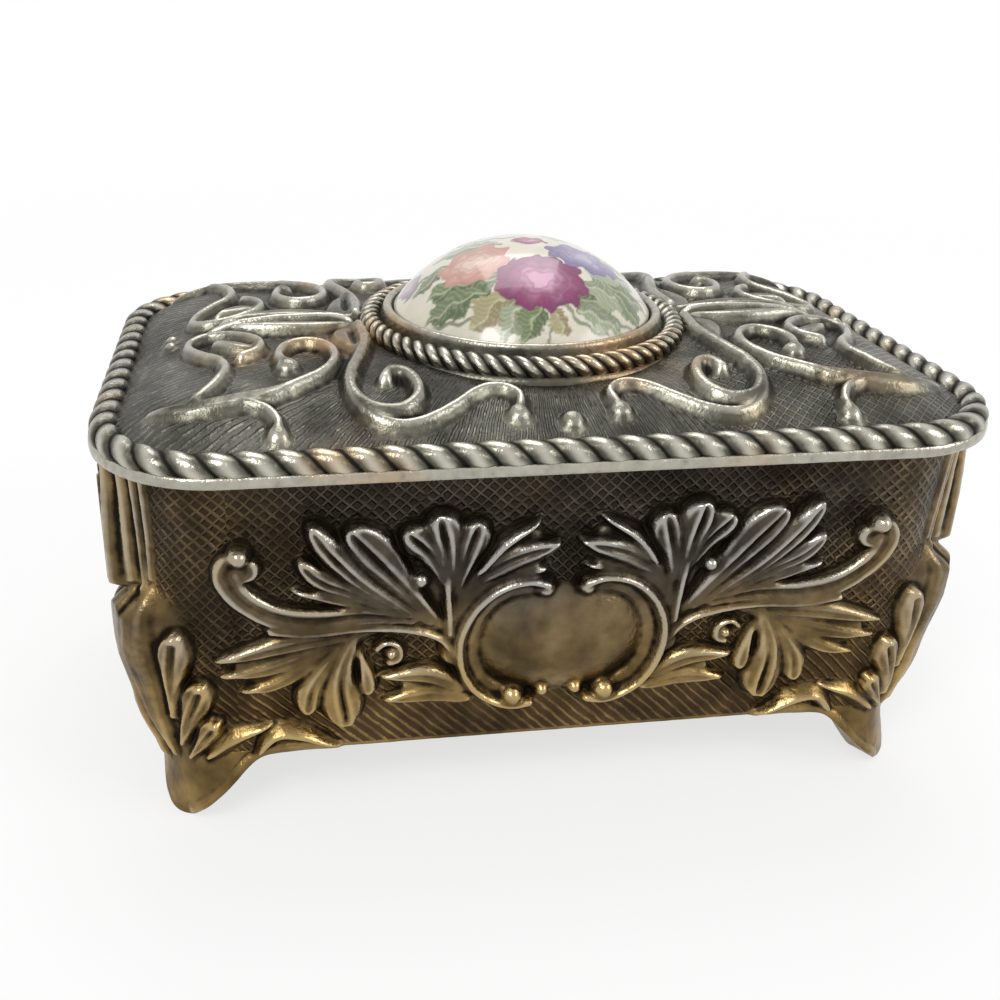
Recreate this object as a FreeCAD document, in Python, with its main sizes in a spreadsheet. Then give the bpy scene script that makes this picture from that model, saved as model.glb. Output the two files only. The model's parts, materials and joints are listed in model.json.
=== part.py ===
"""Footed trinket box of cast, plated metal with a hinged lid, a porcelain cabochon and a velvet lining.

Millimetres. The box stands on its feet at z = 0, centred on the Z axis. X runs along its length, the front
faces -Y and the hinges are at the rear, +Y.
"""
import FreeCAD
import Part
import Sketcher
import math
import os

SIZES = [
    # Lid outline, which the box below it follows
    ("lid_length", 105.0),
    ("lid_depth", 66.0),
    ("lid_radius", 15.0),
    # Walls, floor and feet of the box casting
    ("lid_overhang", 3.3),
    ("wall_draft", 2.3),
    ("wall_height", 36.8),
    ("wall_thickness", 2.2),
    ("floor_thickness", 2.2),
    ("foot_height", 9.0),
    ("foot_flare", 1.7),
    ("foot_thickness", 3.2),
    ("foot_reach", 12.4),
    ("foot_toe", 3.1),
    ("arch_radius", 40.0),
    # Lid casting
    ("rim_gap", 0.2),
    ("flange_thickness", 1.4),
    ("rope_radius", 1.7),
    ("rope_inset", 1.75),
    ("rope_lift", 1.9),
    ("ground_inset", 3.0),
    ("ground_lift", 2.2),
    ("shoulder_inset", 7.5),
    ("shoulder_lift", 4.6),
    ("crown_margin", 11.4),
    ("crown_depth", 28.0),
    ("crown_radius", 10.0),
    ("crown_lift", 6.6),
    ("bezel_lift", 5.4),
    ("bezel_clearance", 0.3),
    ("pocket_inset", 9.0),
    ("pocket_radius", 7.0),
    ("pocket_lift", 1.9),
    ("pocket_ledge", 2.5),
    ("hollow_inset", 2.5),
    ("hollow_lift", 3.8),
    # Bezel collar, cabochon and its bed
    ("bezel_radius", 21.1),
    ("bezel_width", 4.6),
    ("bezel_plinth", 1.0),
    ("bezel_step", 0.7),
    ("bezel_band_height", 2.1),
    ("bezel_band_run", 1.5),
    ("bezel_band_radius", 1.4),
    ("bezel_lip_height", 3.9),
    ("bezel_lip_run", 0.4),
    ("bezel_lip_chamfer", 0.4),
    ("cabochon_clearance", 0.15),
    ("cabochon_girdle", 3.0),
    ("cabochon_rise", 8.8),
    ("bed_thickness", 0.5),
    # Hinges
    ("hinge_spacing", 52.0),
    ("hinge_inset", 1.7),
    ("hinge_drop", 1.5),
    ("knuckle_radius", 1.3),
    ("knuckle_length", 4.0),
    ("lug_length", 3.0),
    ("knuckle_gap", 0.15),
    ("pin_radius", 0.6),
    ("pin_seat_clearance", 0.02),
    ("pin_running_clearance", 0.05),
    # Velvet lining and its cards
    ("card_thickness", 0.8),
    ("wall_velvet_thickness", 0.8),
    ("lining_clearance", 0.1),
    ("lining_setback", 1.5),
    ("wadding_thickness", 1.2),
    ("wadding_shrink", 1.5),
    ("floor_velvet_thickness", 1.4),
    ("velvet_edge", 0.5),
    ("velvet_roll", 4.0),
    ("lid_card_thickness", 0.7),
    ("lid_card_clearance", 0.3),
    ("lid_wadding_thickness", 0.8),
    ("lid_velvet_thickness", 0.9),
    ("lid_velvet_edge", 0.4),
    # Cast relief of the walls and the lid
    ("cartouche_length", 20.6),
    ("cartouche_height", 15.6),
    ("cartouche_rise", 2.4),
    ("cartouche_centre", 14.2),
    ("wall_relief", 1.5),
    ("lid_relief", 1.3),
    ("scroll_width", 1.6),
    ("hook_width", 2.6),
    ("ball_radius", 1.1),
]

# Ornament of one half of a long wall, the other half mirrored. Places are shares of half the wall's base length
# and of the wall's height. A leaf is its root, its tip and how far its two edges swell, as shares of its length.
WALL_LEAF_SHARES = [
    ((0.228, 0.530), (0.070, 0.820), 0.10, 0.24),
    ((0.215, 0.560), (0.019, 0.740), 0.16, 0.14),
    ((0.274, 0.420), (0.290, 0.720), 0.10, 0.10),
    ((0.283, 0.680), (0.222, 0.855), 0.24, 0.24),
    ((0.292, 0.680), (0.320, 0.900), 0.24, 0.24),
    ((0.300, 0.680), (0.392, 0.835), 0.24, 0.24),
    ((0.290, 0.420), (0.533, 0.800), 0.13, 0.17),
    ((0.300, 0.400), (0.640, 0.790), 0.05, 0.13),
    ((0.480, 0.440), (0.850, 0.360), 0.08, 0.10),
    ((0.550, 0.400), (0.800, 0.250), 0.12, 0.12),
    ((0.550, 0.400), (0.540, 0.100), 0.18, 0.20),
    ((0.580, 0.370), (0.632, 0.170), 0.22, 0.22),
    ((0.215, 0.180), (0.450, 0.280), 0.12, 0.14),
    ((0.225, 0.140), (0.460, 0.150), 0.10, 0.16),
]
# A scroll is a chain of arcs: start, a point on the way, end, and so on.
WALL_FRAME_SHARES = [(0.038, 0.575), (0.175, 0.570), (0.241, 0.380), (0.179, 0.190), (0.051, 0.172)]
WALL_HOOK_SHARES = [(0.523, 0.520), (0.720, 0.528), (0.800, 0.610), (0.835, 0.700), (0.785, 0.740)]

# Ornament of one half of an end wall, as shares of half the wall's base depth and of its height.
END_LEAF_SHARES = [
    ((0.030, 0.380), (0.220, 0.800), 0.10, 0.16),
    ((0.045, 0.380), (0.415, 0.690), 0.10, 0.14),
    ((0.055, 0.315), (0.570, 0.350), 0.10, 0.12),
    ((0.073, 0.283), (0.525, 0.212), 0.12, 0.12),
    ((0.045, 0.300), (0.235, 0.087), 0.16, 0.16),
]
END_CENTRE_LEAF_SHARES = [
    ((0.0, 0.340), (0.0, 0.870), 0.12, 0.12),
    ((0.0, 0.300), (0.0, 0.071), 0.15, 0.15),
]
END_HOOK_SHARES = [(0.073, 0.359), (0.310, 0.378), (0.460, 0.440), (0.547, 0.543), (0.445, 0.603)]

# Ornament of a front left corner, the other corners mirrored: across the corner towards the long wall as shares
# of the base's corner radius, and up as shares of the wall's height.
CORNER_LEAF_SHARES = [
    ((-0.28, 0.60), (-0.28, 0.01), 0.11, 0.11),
    ((-0.08, 0.97), (-0.08, 0.58), 0.07, 0.07),
    ((-0.46, 0.97), (-0.46, 0.58), 0.07, 0.07),
    ((0.03, 0.18), (0.24, 0.475), 0.14, 0.14),
    ((0.10, 0.07), (0.49, 0.285), 0.18, 0.18),
    ((0.25, 0.02), (0.60, 0.140), 0.20, 0.20),
]

# Ornament of one quarter of the lid, the other quarters mirrored. Places are shares of half the lid's length and
# of half its depth, the front at negative depth.
LID_SCROLL_SHARES = [
    [(0.436, -0.090), (0.408, -0.255), (0.423, -0.410), (0.450, -0.605), (0.390, -0.775), (0.310, -0.675), (0.358, -0.545)],
    [(0.446, -0.764), (0.354, -0.838), (0.251, -0.780), (0.202, -0.708), (0.152, -0.667), (0.107, -0.694), (0.101, -0.764)],
    [(0.700, -0.700), (0.581, -0.648), (0.503, -0.540), (0.474, -0.394), (0.522, -0.264), (0.590, -0.340), (0.579, -0.476)],
    [(0.770, -0.685), (0.712, -0.515), (0.724, -0.376), (0.781, -0.248), (0.794, -0.140), (0.735, -0.082), (0.667, -0.140),
     (0.634, -0.248), (0.674, -0.358)],
    [(0.670, -0.709), (0.621, -0.752), (0.604, -0.848)],
]
LID_LEAF_SHARES = [
    ((0.620, -0.670), (0.865, -0.673), 0.10, 0.14),
    ((0.425, -0.040), (0.745, -0.040), 0.10, 0.10),
]
LID_BALL_SHARES = [(0.109, -0.803), (0.579, -0.476), (0.604, -0.852)]
LID_CENTRE_BALL_SHARES = [(0.0, -0.836), (0.0, 0.836)]

doc = FreeCAD.newDocument("trinket_box")
sheet = doc.addObject("Spreadsheet::Sheet", "Sizes")
for row, (alias, number) in enumerate(SIZES, start=1):
    sheet.set(f"A{row}", alias)
    sheet.set(f"B{row}", str(number))
    sheet.setAlias(f"B{row}", alias)
doc.recompute()


def sized(text):
    """Put the sheet's name before every size in an expression written in plain size names."""
    words = text.replace("(", "( ").replace(")", " )").split()
    aliases = {alias for alias, number in SIZES}
    return " ".join(f"Sizes.{word}" if word in aliases else word for word in words)


def number_of(text):
    """Value of an expression in size names, in millimetres."""
    return float(sheet.evalExpression(sized(text)))


def drawn_in(sides, inset):
    """Length, depth and corner radius of a rounded rectangle, drawn in by an inset all round."""
    length, depth, radius = sides
    return [f"{length} - 2 * ( {inset} )", f"{depth} - 2 * ( {inset} )", f"{radius} - ( {inset} )"]


# Heights of the main levels and outlines of the main forms, as expressions in size names
FLOOR_TOP = "foot_height + floor_thickness"
RIM = "foot_height + wall_height"
LID_BASE = "foot_height + wall_height + rim_gap"
BEZEL_SEAT = f"{LID_BASE} + bezel_lift"
BEZEL_BORE = "( bezel_radius - bezel_width )"
CABOCHON_SEAT = f"{BEZEL_SEAT} + bed_thickness"
HINGE_Y = "lid_depth / 2 - hinge_inset"
HINGE_Z = f"{LID_BASE} - hinge_drop"
HINGE_STATIONS = {"left": "0 - hinge_spacing / 2", "right": "hinge_spacing / 2"}
LID_OUTLINE = ["lid_length", "lid_depth", "lid_radius"]
BODY_TOP = drawn_in(LID_OUTLINE, "lid_overhang")
BODY_BASE = drawn_in(LID_OUTLINE, "lid_overhang + wall_draft")


def body_named(label):
    """New empty body; the label names the piece."""
    body = doc.addObject("PartDesign::Body", label)
    body.Label = label
    return body


def sketch_on(body, name, role, height="0"):
    """Empty sketch on one of the body's own origin planes, lifted off it by a height."""
    sketch = body.newObject("Sketcher::SketchObject", name)
    plane = [item for item in body.Origin.OriginFeatures if item.Role == role][0]
    sketch.AttachmentSupport = [(plane, "")]
    sketch.MapMode = "FlatFace"
    sketch.setExpression("AttachmentOffset.Base.z", sized(height))
    return sketch


def bind(sketch, index, name, text):
    """Name a sketch constraint and bind it to an expression in size names."""
    sketch.renameConstraint(index, name)
    sketch.setExpression(f"Constraints.{name}", sized(text))


def place_point(sketch, geometry, point, axis, text, name):
    """Hold one coordinate of a sketch point at an expression in size names."""
    value = number_of(text)
    if value == 0:
        axis_line = -2 if axis == "X" else -1
        sketch.addConstraint(Sketcher.Constraint("PointOnObject", geometry, point, axis_line))
        return
    if value > 0:
        held = Sketcher.Constraint("Distance" + axis, -1, 1, geometry, point, value)
        bind(sketch, sketch.addConstraint(held), name, text)
        return
    held = Sketcher.Constraint("Distance" + axis, geometry, point, -1, 1, -value)
    bind(sketch, sketch.addConstraint(held), name, f"0 - ( {text} )")


def rounded_rectangle(body, name, height, sides):
    """Closed sketch of a rectangle with rounded corners about the Z axis, at a height."""
    sketch = sketch_on(body, name, "XY_Plane", height)
    length, depth, radius = sides
    half_x = number_of(length) / 2
    half_y = number_of(depth) / 2
    corner = number_of(radius)
    flat_x = half_x - corner
    flat_y = half_y - corner
    quarter = math.pi / 2
    arcs = []
    for turns, (x, y) in enumerate([(flat_x, flat_y), (-flat_x, flat_y), (-flat_x, -flat_y), (flat_x, -flat_y)]):
        circle = Part.Circle(FreeCAD.Vector(x, y, 0), FreeCAD.Vector(0, 0, 1), corner)
        arc = Part.ArcOfCircle(circle, turns * quarter, (turns + 1) * quarter)
        arcs.append(sketch.addGeometry(arc, False))
    ends = [
        ((flat_x, half_y), (-flat_x, half_y)),
        ((-half_x, flat_y), (-half_x, -flat_y)),
        ((-flat_x, -half_y), (flat_x, -half_y)),
        ((half_x, -flat_y), (half_x, flat_y)),
    ]
    lines = []
    for start, end in ends:
        segment = Part.LineSegment(FreeCAD.Vector(*start, 0), FreeCAD.Vector(*end, 0))
        lines.append(sketch.addGeometry(segment, False))
    for index, line in enumerate(lines):
        following = arcs[(index + 1) % len(arcs)]
        sketch.addConstraint(Sketcher.Constraint("Tangent", arcs[index], 2, line, 1))
        sketch.addConstraint(Sketcher.Constraint("Tangent", line, 2, following, 1))
        direction = "Horizontal" if index % 2 == 0 else "Vertical"
        sketch.addConstraint(Sketcher.Constraint(direction, line))
    for arc in arcs[1:]:
        sketch.addConstraint(Sketcher.Constraint("Equal", arcs[0], arc))
    held = sketch.addConstraint(Sketcher.Constraint("Radius", arcs[0], corner))
    bind(sketch, held, "corner", radius)
    place_point(sketch, lines[0], 1, "Y", f"( {depth} ) / 2", "rear")
    place_point(sketch, lines[2], 1, "Y", f"0 - ( {depth} ) / 2", "front")
    place_point(sketch, lines[1], 1, "X", f"0 - ( {length} ) / 2", "left")
    place_point(sketch, lines[3], 1, "X", f"( {length} ) / 2", "right")
    return sketch


def bulged_arc(start, end, radius):
    """Arc from start to end of a radius, bulging to the right of the way it runs."""
    chord = end - start
    across = FreeCAD.Vector(chord.y, -chord.x, 0).normalize()
    half = chord.Length / 2
    sagitta = radius - math.sqrt(radius * radius - half * half)
    return Part.Arc(start, start + chord * 0.5 + across * sagitta, end)


def profile(body, name, role, vertices, arcs):
    """Closed sketch through vertices; a side listed in arcs bulges to its right with the radius given."""
    sketch = sketch_on(body, name, role)
    points = [FreeCAD.Vector(number_of(x), number_of(y), 0) for x, y in vertices]
    sides = []
    first_ends = []
    for index, start in enumerate(points):
        end = points[(index + 1) % len(points)]
        curve = bulged_arc(start, end, number_of(arcs[index])) if index in arcs else Part.LineSegment(start, end)
        side = sketch.addGeometry(curve, False)
        kept = sketch.Geometry[side]
        turned = kept.StartPoint.distanceToPoint(start) > kept.EndPoint.distanceToPoint(start)
        sides.append(side)
        first_ends.append(2 if turned else 1)
    for index, (x, y) in enumerate(vertices):
        follows = (index + 1) % len(sides)
        last_end = 3 - first_ends[index]
        meeting = Sketcher.Constraint("Coincident", sides[index], last_end, sides[follows], first_ends[follows])
        sketch.addConstraint(meeting)
        place_point(sketch, sides[index], first_ends[index], "X", x, f"across{index}")
        place_point(sketch, sides[index], first_ends[index], "Y", y, f"up{index}")
    for index, radius in arcs.items():
        held = sketch.addConstraint(Sketcher.Constraint("Radius", sides[index], number_of(radius)))
        bind(sketch, held, f"bend{index}", radius)
    return sketch


def loft(body, name, sections, cut=False):
    """Straight-sided loft through sketches, added to the body or cut from it."""
    kind = "PartDesign::SubtractiveLoft" if cut else "PartDesign::AdditiveLoft"
    feature = body.newObject(kind, name)
    feature.Profile = sections[0]
    feature.Sections = sections[1:]
    feature.Ruled = True
    return feature


def lofted(label, levels):
    """Body lofted through rounded rectangles, each a height and its sides, from low to high."""
    body = body_named(label)
    sections = [rounded_rectangle(body, f"{label}_{index}", height, sides)
                for index, (height, sides) in enumerate(levels)]
    loft(body, label + "_solid", sections)
    return body


def pocket_through(body, name, sketch, length):
    """Pocket of a sketch cut evenly to both sides of its plane."""
    feature = body.newObject("PartDesign::Pocket", name)
    feature.Profile = sketch
    feature.Midplane = True
    feature.setExpression("Length", sized(length))
    return feature


def revolution(body, name, sketch):
    """Full turn of a half profile about the Z axis."""
    feature = body.newObject("PartDesign::Revolution", name)
    feature.Profile = sketch
    feature.ReferenceAxis = (sketch, ["V_Axis"])
    return feature


def placed(item, x, y, z):
    """Bind an item's place to expressions in size names."""
    for axis, text in (("x", x), ("y", y), ("z", z)):
        item.setExpression(f"Placement.Base.{axis}", sized(text))
    return item


def cylinder_along_x(name, radius, length, x, y, z):
    """Cylinder centred on x, its axis along X."""
    item = doc.addObject("Part::Cylinder", name)
    item.setExpression("Radius", sized(radius))
    item.setExpression("Height", sized(length))
    item.Placement.Rotation = FreeCAD.Rotation(FreeCAD.Vector(0, 1, 0), 90)
    return placed(item, f"{x} - ( {length} ) / 2", y, z)


def block(name, length, depth, height, x, y, z):
    """Box from its low corner."""
    item = doc.addObject("Part::Box", name)
    for side, text in (("Length", length), ("Width", depth), ("Height", height)):
        item.setExpression(side, sized(text))
    return placed(item, x, y, z)


def joined(name, items):
    """One solid out of overlapping ones."""
    item = doc.addObject("Part::MultiFuse", name)
    item.Shapes = items
    item.Refine = False
    return item


def shared(name, base, tool):
    """The room that two solids share."""
    item = doc.addObject("Part::Common", name)
    item.Base = base
    item.Tool = tool
    return item


def cut_by(name, base, tools):
    """The base with the tools' room taken out."""
    item = doc.addObject("Part::Cut", name)
    item.Base = base
    item.Tool = tools[0] if len(tools) == 1 else joined(name + "_tools", tools)
    item.Refine = False
    return item


def leaf_face(root, tip, left_share, right_share):
    """Pointed leaf between a root and a tip, each edge an arc that swells by a share of the leaf's length."""
    run = tip - root
    across = FreeCAD.Vector(-run.y, run.x, 0)
    middle = root + run * 0.5
    left = Part.Arc(root, middle + across * left_share, tip)
    right = Part.Arc(tip, middle - across * right_share, root)
    return Part.Face(Part.Wire([left.toShape(), right.toShape()]))


def scroll_face(points, width):
    """Band of a width with round ends along a chain of arcs."""
    arcs = [Part.Arc(*points[start:start + 3]).toShape() for start in range(0, len(points) - 2, 2)]
    outline = Part.Wire(arcs).makeOffset2D(width / 2, 0, False, False)
    return Part.Face(outline)


def mirrored_pair(face):
    """A flat face and its mirror image across the Y axis."""
    return [face, face.mirror(FreeCAD.Vector(0, 0, 0), FreeCAD.Vector(1, 0, 0))]


def mirrored_four(face):
    """A flat face and its mirror images across both axes."""
    rear = face.mirror(FreeCAD.Vector(0, 0, 0), FreeCAD.Vector(0, 1, 0))
    return mirrored_pair(face) + mirrored_pair(rear)


def prisms(name, faces, reach, placement):
    """Flat outlines drawn out to prisms of a length, then turned and set in place."""
    columns = [face.extrude(FreeCAD.Vector(0, 0, reach)) for face in faces]
    item = doc.addObject("Part::Feature", name)
    item.Shape = columns[0].multiFuse(columns[1:])
    item.Placement = placement
    return item


def spots(half_length, height):
    """Maker of points from shares of a half length and of a height."""
    return lambda share: FreeCAD.Vector(share[0] * half_length, share[1] * height, 0)


def leaves(table, spot):
    """Leaf outlines from a table of shares."""
    return [leaf_face(spot(root), spot(tip), left, right) for root, tip, left, right in table]


def long_wall_columns():
    """Leaves, frame scrolls and hooks of the front and rear walls, drawn out through the box."""
    spot = spots(number_of(BODY_BASE[0]) / 2, number_of("wall_height"))
    faces = leaves(WALL_LEAF_SHARES, spot)
    faces.append(scroll_face([spot(share) for share in WALL_FRAME_SHARES], number_of("scroll_width")))
    faces.append(scroll_face([spot(share) for share in WALL_HOOK_SHARES], number_of("hook_width")))
    pairs = [half for face in faces for half in mirrored_pair(face)]
    depth = number_of("lid_depth")
    upright = FreeCAD.Rotation(FreeCAD.Vector(1, 0, 0), 90)
    start = FreeCAD.Vector(0, depth / 2, number_of("foot_height"))
    return prisms("wall_columns", pairs, depth, FreeCAD.Placement(start, upright))


def end_wall_columns(name, side):
    """Spray of leaves with a pair of hooks, drawn out from inside one end wall."""
    spot = spots(number_of(BODY_BASE[1]) / 2, number_of("wall_height"))
    faces = leaves(END_LEAF_SHARES, spot)
    faces.append(scroll_face([spot(share) for share in END_HOOK_SHARES], number_of("hook_width")))
    pairs = [half for face in faces for half in mirrored_pair(face)]
    pairs += leaves(END_CENTRE_LEAF_SHARES, spot)
    inside = number_of(f"( {BODY_BASE[0]} ) / 2 - wall_thickness / 2")
    turned = FreeCAD.Rotation(FreeCAD.Vector(0, 0, 1), 90 * side)
    upright = turned.multiply(FreeCAD.Rotation(FreeCAD.Vector(1, 0, 0), 90))
    start = FreeCAD.Vector(side * inside, 0, number_of("foot_height"))
    return prisms(name, pairs, number_of("lid_overhang + wall_draft + wall_thickness"),
                  FreeCAD.Placement(start, upright))


def corner_columns(name, side_x, side_y):
    """Spear leaf with its reeds and buds, drawn out from inside one corner."""
    radius = number_of(BODY_BASE[2])
    spot = spots(radius, number_of("wall_height"))
    faces = leaves(CORNER_LEAF_SHARES, spot)
    if side_x == side_y:
        outlines = faces
    else:
        outlines = [mirrored_pair(face)[1] for face in faces]
    heading = math.degrees(math.atan2(side_y, side_x))
    turned = FreeCAD.Rotation(FreeCAD.Vector(0, 0, 1), heading + 90)
    upright = turned.multiply(FreeCAD.Rotation(FreeCAD.Vector(1, 0, 0), 90))
    inside = radius - number_of("wall_thickness / 2")
    outward = FreeCAD.Vector(side_x, side_y, 0).normalize() * inside
    centre = FreeCAD.Vector(side_x * number_of("lid_length / 2 - lid_radius"),
                            side_y * number_of("lid_depth / 2 - lid_radius"), number_of("foot_height"))
    reach = number_of("lid_overhang + wall_draft + wall_thickness")
    return prisms(name, outlines, reach, FreeCAD.Placement(centre + outward, upright))


def wall_ornament():
    """Ornament of the four walls and corners, as bands of metal that follow the walls' slope."""
    columns = [long_wall_columns(), end_wall_columns("right_columns", 1), end_wall_columns("left_columns", -1)]
    for side_x in (-1, 1):
        for side_y in (-1, 1):
            columns.append(corner_columns(f"corner_columns_{len(columns)}", side_x, side_y))
    bound = lofted("wall_relief_bound", [
        ("foot_height", drawn_in(BODY_BASE, "0 - wall_relief")),
        (RIM, drawn_in(BODY_TOP, "0 - wall_relief")),
    ])
    return [shared(f"wall_ornament_{index}", column, bound) for index, column in enumerate(columns)]


def cartouche(name, side):
    """Smooth pillow of a long wall's cartouche, half sunk in the wall that it stands on."""
    item = doc.addObject("Part::Ellipsoid", name)
    item.setExpression("Radius1", sized("cartouche_height / 2"))
    item.setExpression("Radius2", sized("cartouche_length / 2"))
    item.setExpression("Radius3", sized("cartouche_rise"))
    wall_run = f"( {BODY_BASE[1]} ) / 2 + wall_draft * cartouche_centre / wall_height"
    return placed(item, "0", f"{side} * ( {wall_run} )", "foot_height + cartouche_centre")


def box_block():
    """Tapered block of the walls, its four corners running down into flared bracket feet."""
    body = body_named("box_block")
    low = rounded_rectangle(body, "wall_base", "foot_height", BODY_BASE)
    high = rounded_rectangle(body, "wall_top", RIM, BODY_TOP)
    loft(body, "walls", [low, high])
    flared = drawn_in(BODY_BASE, "0 - foot_flare")
    ground = rounded_rectangle(body, "foot_ground", "0", flared)
    shoulder = rounded_rectangle(body, "foot_shoulder", "foot_height", BODY_BASE)
    loft(body, "foot_skirt", [ground, shoulder])
    hollow_low = rounded_rectangle(body, "skirt_low", "0", drawn_in(flared, "foot_thickness"))
    hollow_high = rounded_rectangle(body, "skirt_high", "foot_height", drawn_in(BODY_BASE, "foot_thickness"))
    loft(body, "skirt_hollow", [hollow_low, hollow_high], cut=True)
    arches = (
        ("front_arch", "XZ_Plane", BODY_BASE[0], "2 * lid_depth"),
        ("side_arch", "YZ_Plane", BODY_BASE[1], "2 * lid_length"),
    )
    for name, role, run, reach in arches:
        toe = f"( {run} ) / 2 - foot_toe"
        heel = f"( {run} ) / 2 - foot_reach"
        vertices = [
            (f"0 - ( {toe} )", "0"),
            (toe, "0"),
            (heel, "foot_height"),
            (f"0 - ( {heel} )", "foot_height"),
        ]
        opening = profile(body, name, role, vertices, {1: "arch_radius", 3: "arch_radius"})
        pocket_through(body, name + "_cut", opening, reach)
    return body


def hinge_lugs():
    """The two lugs of each hinge with the webs that tie them to the rear wall."""
    lugs = []
    offset = "( knuckle_length / 2 + knuckle_gap + lug_length / 2 )"
    wall_y = f"( {BODY_TOP[1]} ) / 2 - wall_thickness / 2"
    for side, station in HINGE_STATIONS.items():
        for end, sign in (("inner", "-"), ("outer", "+")):
            x = f"{station} {sign} {offset}"
            name = f"lug_{side}_{end}"
            lugs.append(cylinder_along_x(name, "knuckle_radius", "lug_length", x, HINGE_Y, HINGE_Z))
            web = ("lug_length", f"{HINGE_Y} - ( {wall_y} )", "2 * knuckle_radius")
            corner = (f"{x} - lug_length / 2", wall_y, f"{HINGE_Z} - knuckle_radius")
            lugs.append(block(name + "_web", *web, *corner))
    return lugs


def hinge_bores(name, clearance, length):
    """Bores on the hinge line, wider than the pins by a clearance."""
    return [cylinder_along_x(f"{name}_{side}", f"pin_radius + {clearance}", length, station, HINGE_Y, HINGE_Z)
            for side, station in HINGE_STATIONS.items()]


def box_casting():
    """Walls, floor and feet with their relief and the hinge lugs, hollowed from the rim down."""
    pillows = [cartouche("cartouche_front", "-1"), cartouche("cartouche_rear", "1")]
    plain = joined("plain_box", [box_block()] + hinge_lugs())
    relief = joined("wall_relief_forms", wall_ornament() + pillows)
    whole = joined("box_with_relief", [plain, relief])
    cavity = lofted("cavity", [
        (FLOOR_TOP, drawn_in(BODY_BASE, "wall_thickness")),
        (RIM, drawn_in(BODY_TOP, "wall_thickness")),
    ])
    bore_length = "knuckle_length + 2 * knuckle_gap + 4 * lug_length"
    return cut_by("box_casting", whole, [cavity] + hinge_bores("lug_bore", "pin_seat_clearance", bore_length))


def ground_levels(rise):
    """Levels of the lid's domed ground, lifted by a rise."""
    ground = drawn_in(LID_OUTLINE, "ground_inset")
    crown = ["2 * ( bezel_radius + crown_margin )", "crown_depth", "crown_radius"]
    return [
        (f"{LID_BASE} + flange_thickness", ground),
        (f"{LID_BASE} + ground_lift + {rise}", ground),
        (f"{LID_BASE} + shoulder_lift + {rise}", drawn_in(LID_OUTLINE, "shoulder_inset")),
        (f"{LID_BASE} + crown_lift + {rise}", crown),
    ]


def lid_ornament():
    """Scrolls, leaves and balls of the lid, raised evenly over its domed ground."""
    spot = spots(number_of("lid_length") / 2, number_of("lid_depth") / 2)
    width = number_of("scroll_width")
    radius = number_of("ball_radius")
    faces = [scroll_face([spot(share) for share in chain], width) for chain in LID_SCROLL_SHARES]
    faces += leaves(LID_LEAF_SHARES, spot)
    faces += [ball_face(spot(share), radius) for share in LID_BALL_SHARES]
    whole = [quarter for face in faces for quarter in mirrored_four(face)]
    whole += [ball_face(spot(share), radius) for share in LID_CENTRE_BALL_SHARES]
    start = FreeCAD.Vector(0, 0, number_of(f"{LID_BASE} + flange_thickness"))
    reach = number_of("crown_lift + lid_relief")
    columns = prisms("lid_columns", whole, reach, FreeCAD.Placement(start, FreeCAD.Rotation()))
    return shared("lid_ornament", columns, lofted("lid_relief_bound", ground_levels("lid_relief")))


def bezel_well():
    """Round recess that the bezel collar sits in."""
    well = doc.addObject("Part::Cylinder", "bezel_well")
    well.setExpression("Radius", sized("bezel_radius + bezel_clearance"))
    well.setExpression("Height", sized("bezel_lip_height"))
    return placed(well, "0", "0", BEZEL_SEAT)


def ball_face(centre, radius):
    """Round boss seen from above."""
    return Part.Face(Part.Wire(Part.Circle(centre, FreeCAD.Vector(0, 0, 1), radius).toShape()))


def rope_rim():
    """Round rope moulding on the flange: four straight runs joined by quarter rings at the corners."""
    runs = []
    corner = "lid_radius - rope_inset"
    flat_x = "( lid_length / 2 - lid_radius )"
    flat_y = "( lid_depth / 2 - lid_radius )"
    height = f"{LID_BASE} + rope_lift"
    rows = (("front", f"0 - {flat_y} - ( {corner} )"), ("rear", f"{flat_y} + {corner}"))
    for name, y in rows:
        runs.append(cylinder_along_x(f"rope_{name}", "rope_radius", f"2 * {flat_x}", "0", y, height))
    columns = (("left", f"0 - {flat_x} - ( {corner} )"), ("right", f"{flat_x} + {corner}"))
    for name, x in columns:
        run = doc.addObject("Part::Cylinder", f"rope_{name}")
        run.setExpression("Radius", sized("rope_radius"))
        run.setExpression("Height", sized(f"2 * {flat_y}"))
        run.Placement.Rotation = FreeCAD.Rotation(FreeCAD.Vector(1, 0, 0), -90)
        runs.append(placed(run, x, f"0 - {flat_y}", height))
    signs = (("1", "1"), ("-1", "1"), ("-1", "-1"), ("1", "-1"))
    for quarter, (sign_x, sign_y) in enumerate(signs):
        ring = doc.addObject("Part::Torus", f"rope_corner_{quarter}")
        ring.setExpression("Radius1", sized(corner))
        ring.setExpression("Radius2", sized("rope_radius"))
        ring.Angle3 = 90
        ring.Placement.Rotation = FreeCAD.Rotation(FreeCAD.Vector(0, 0, 1), 90 * quarter)
        runs.append(placed(ring, f"{sign_x} * {flat_x}", f"{sign_y} * {flat_y}", height))
    return joined("rope_rim", runs)


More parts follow.
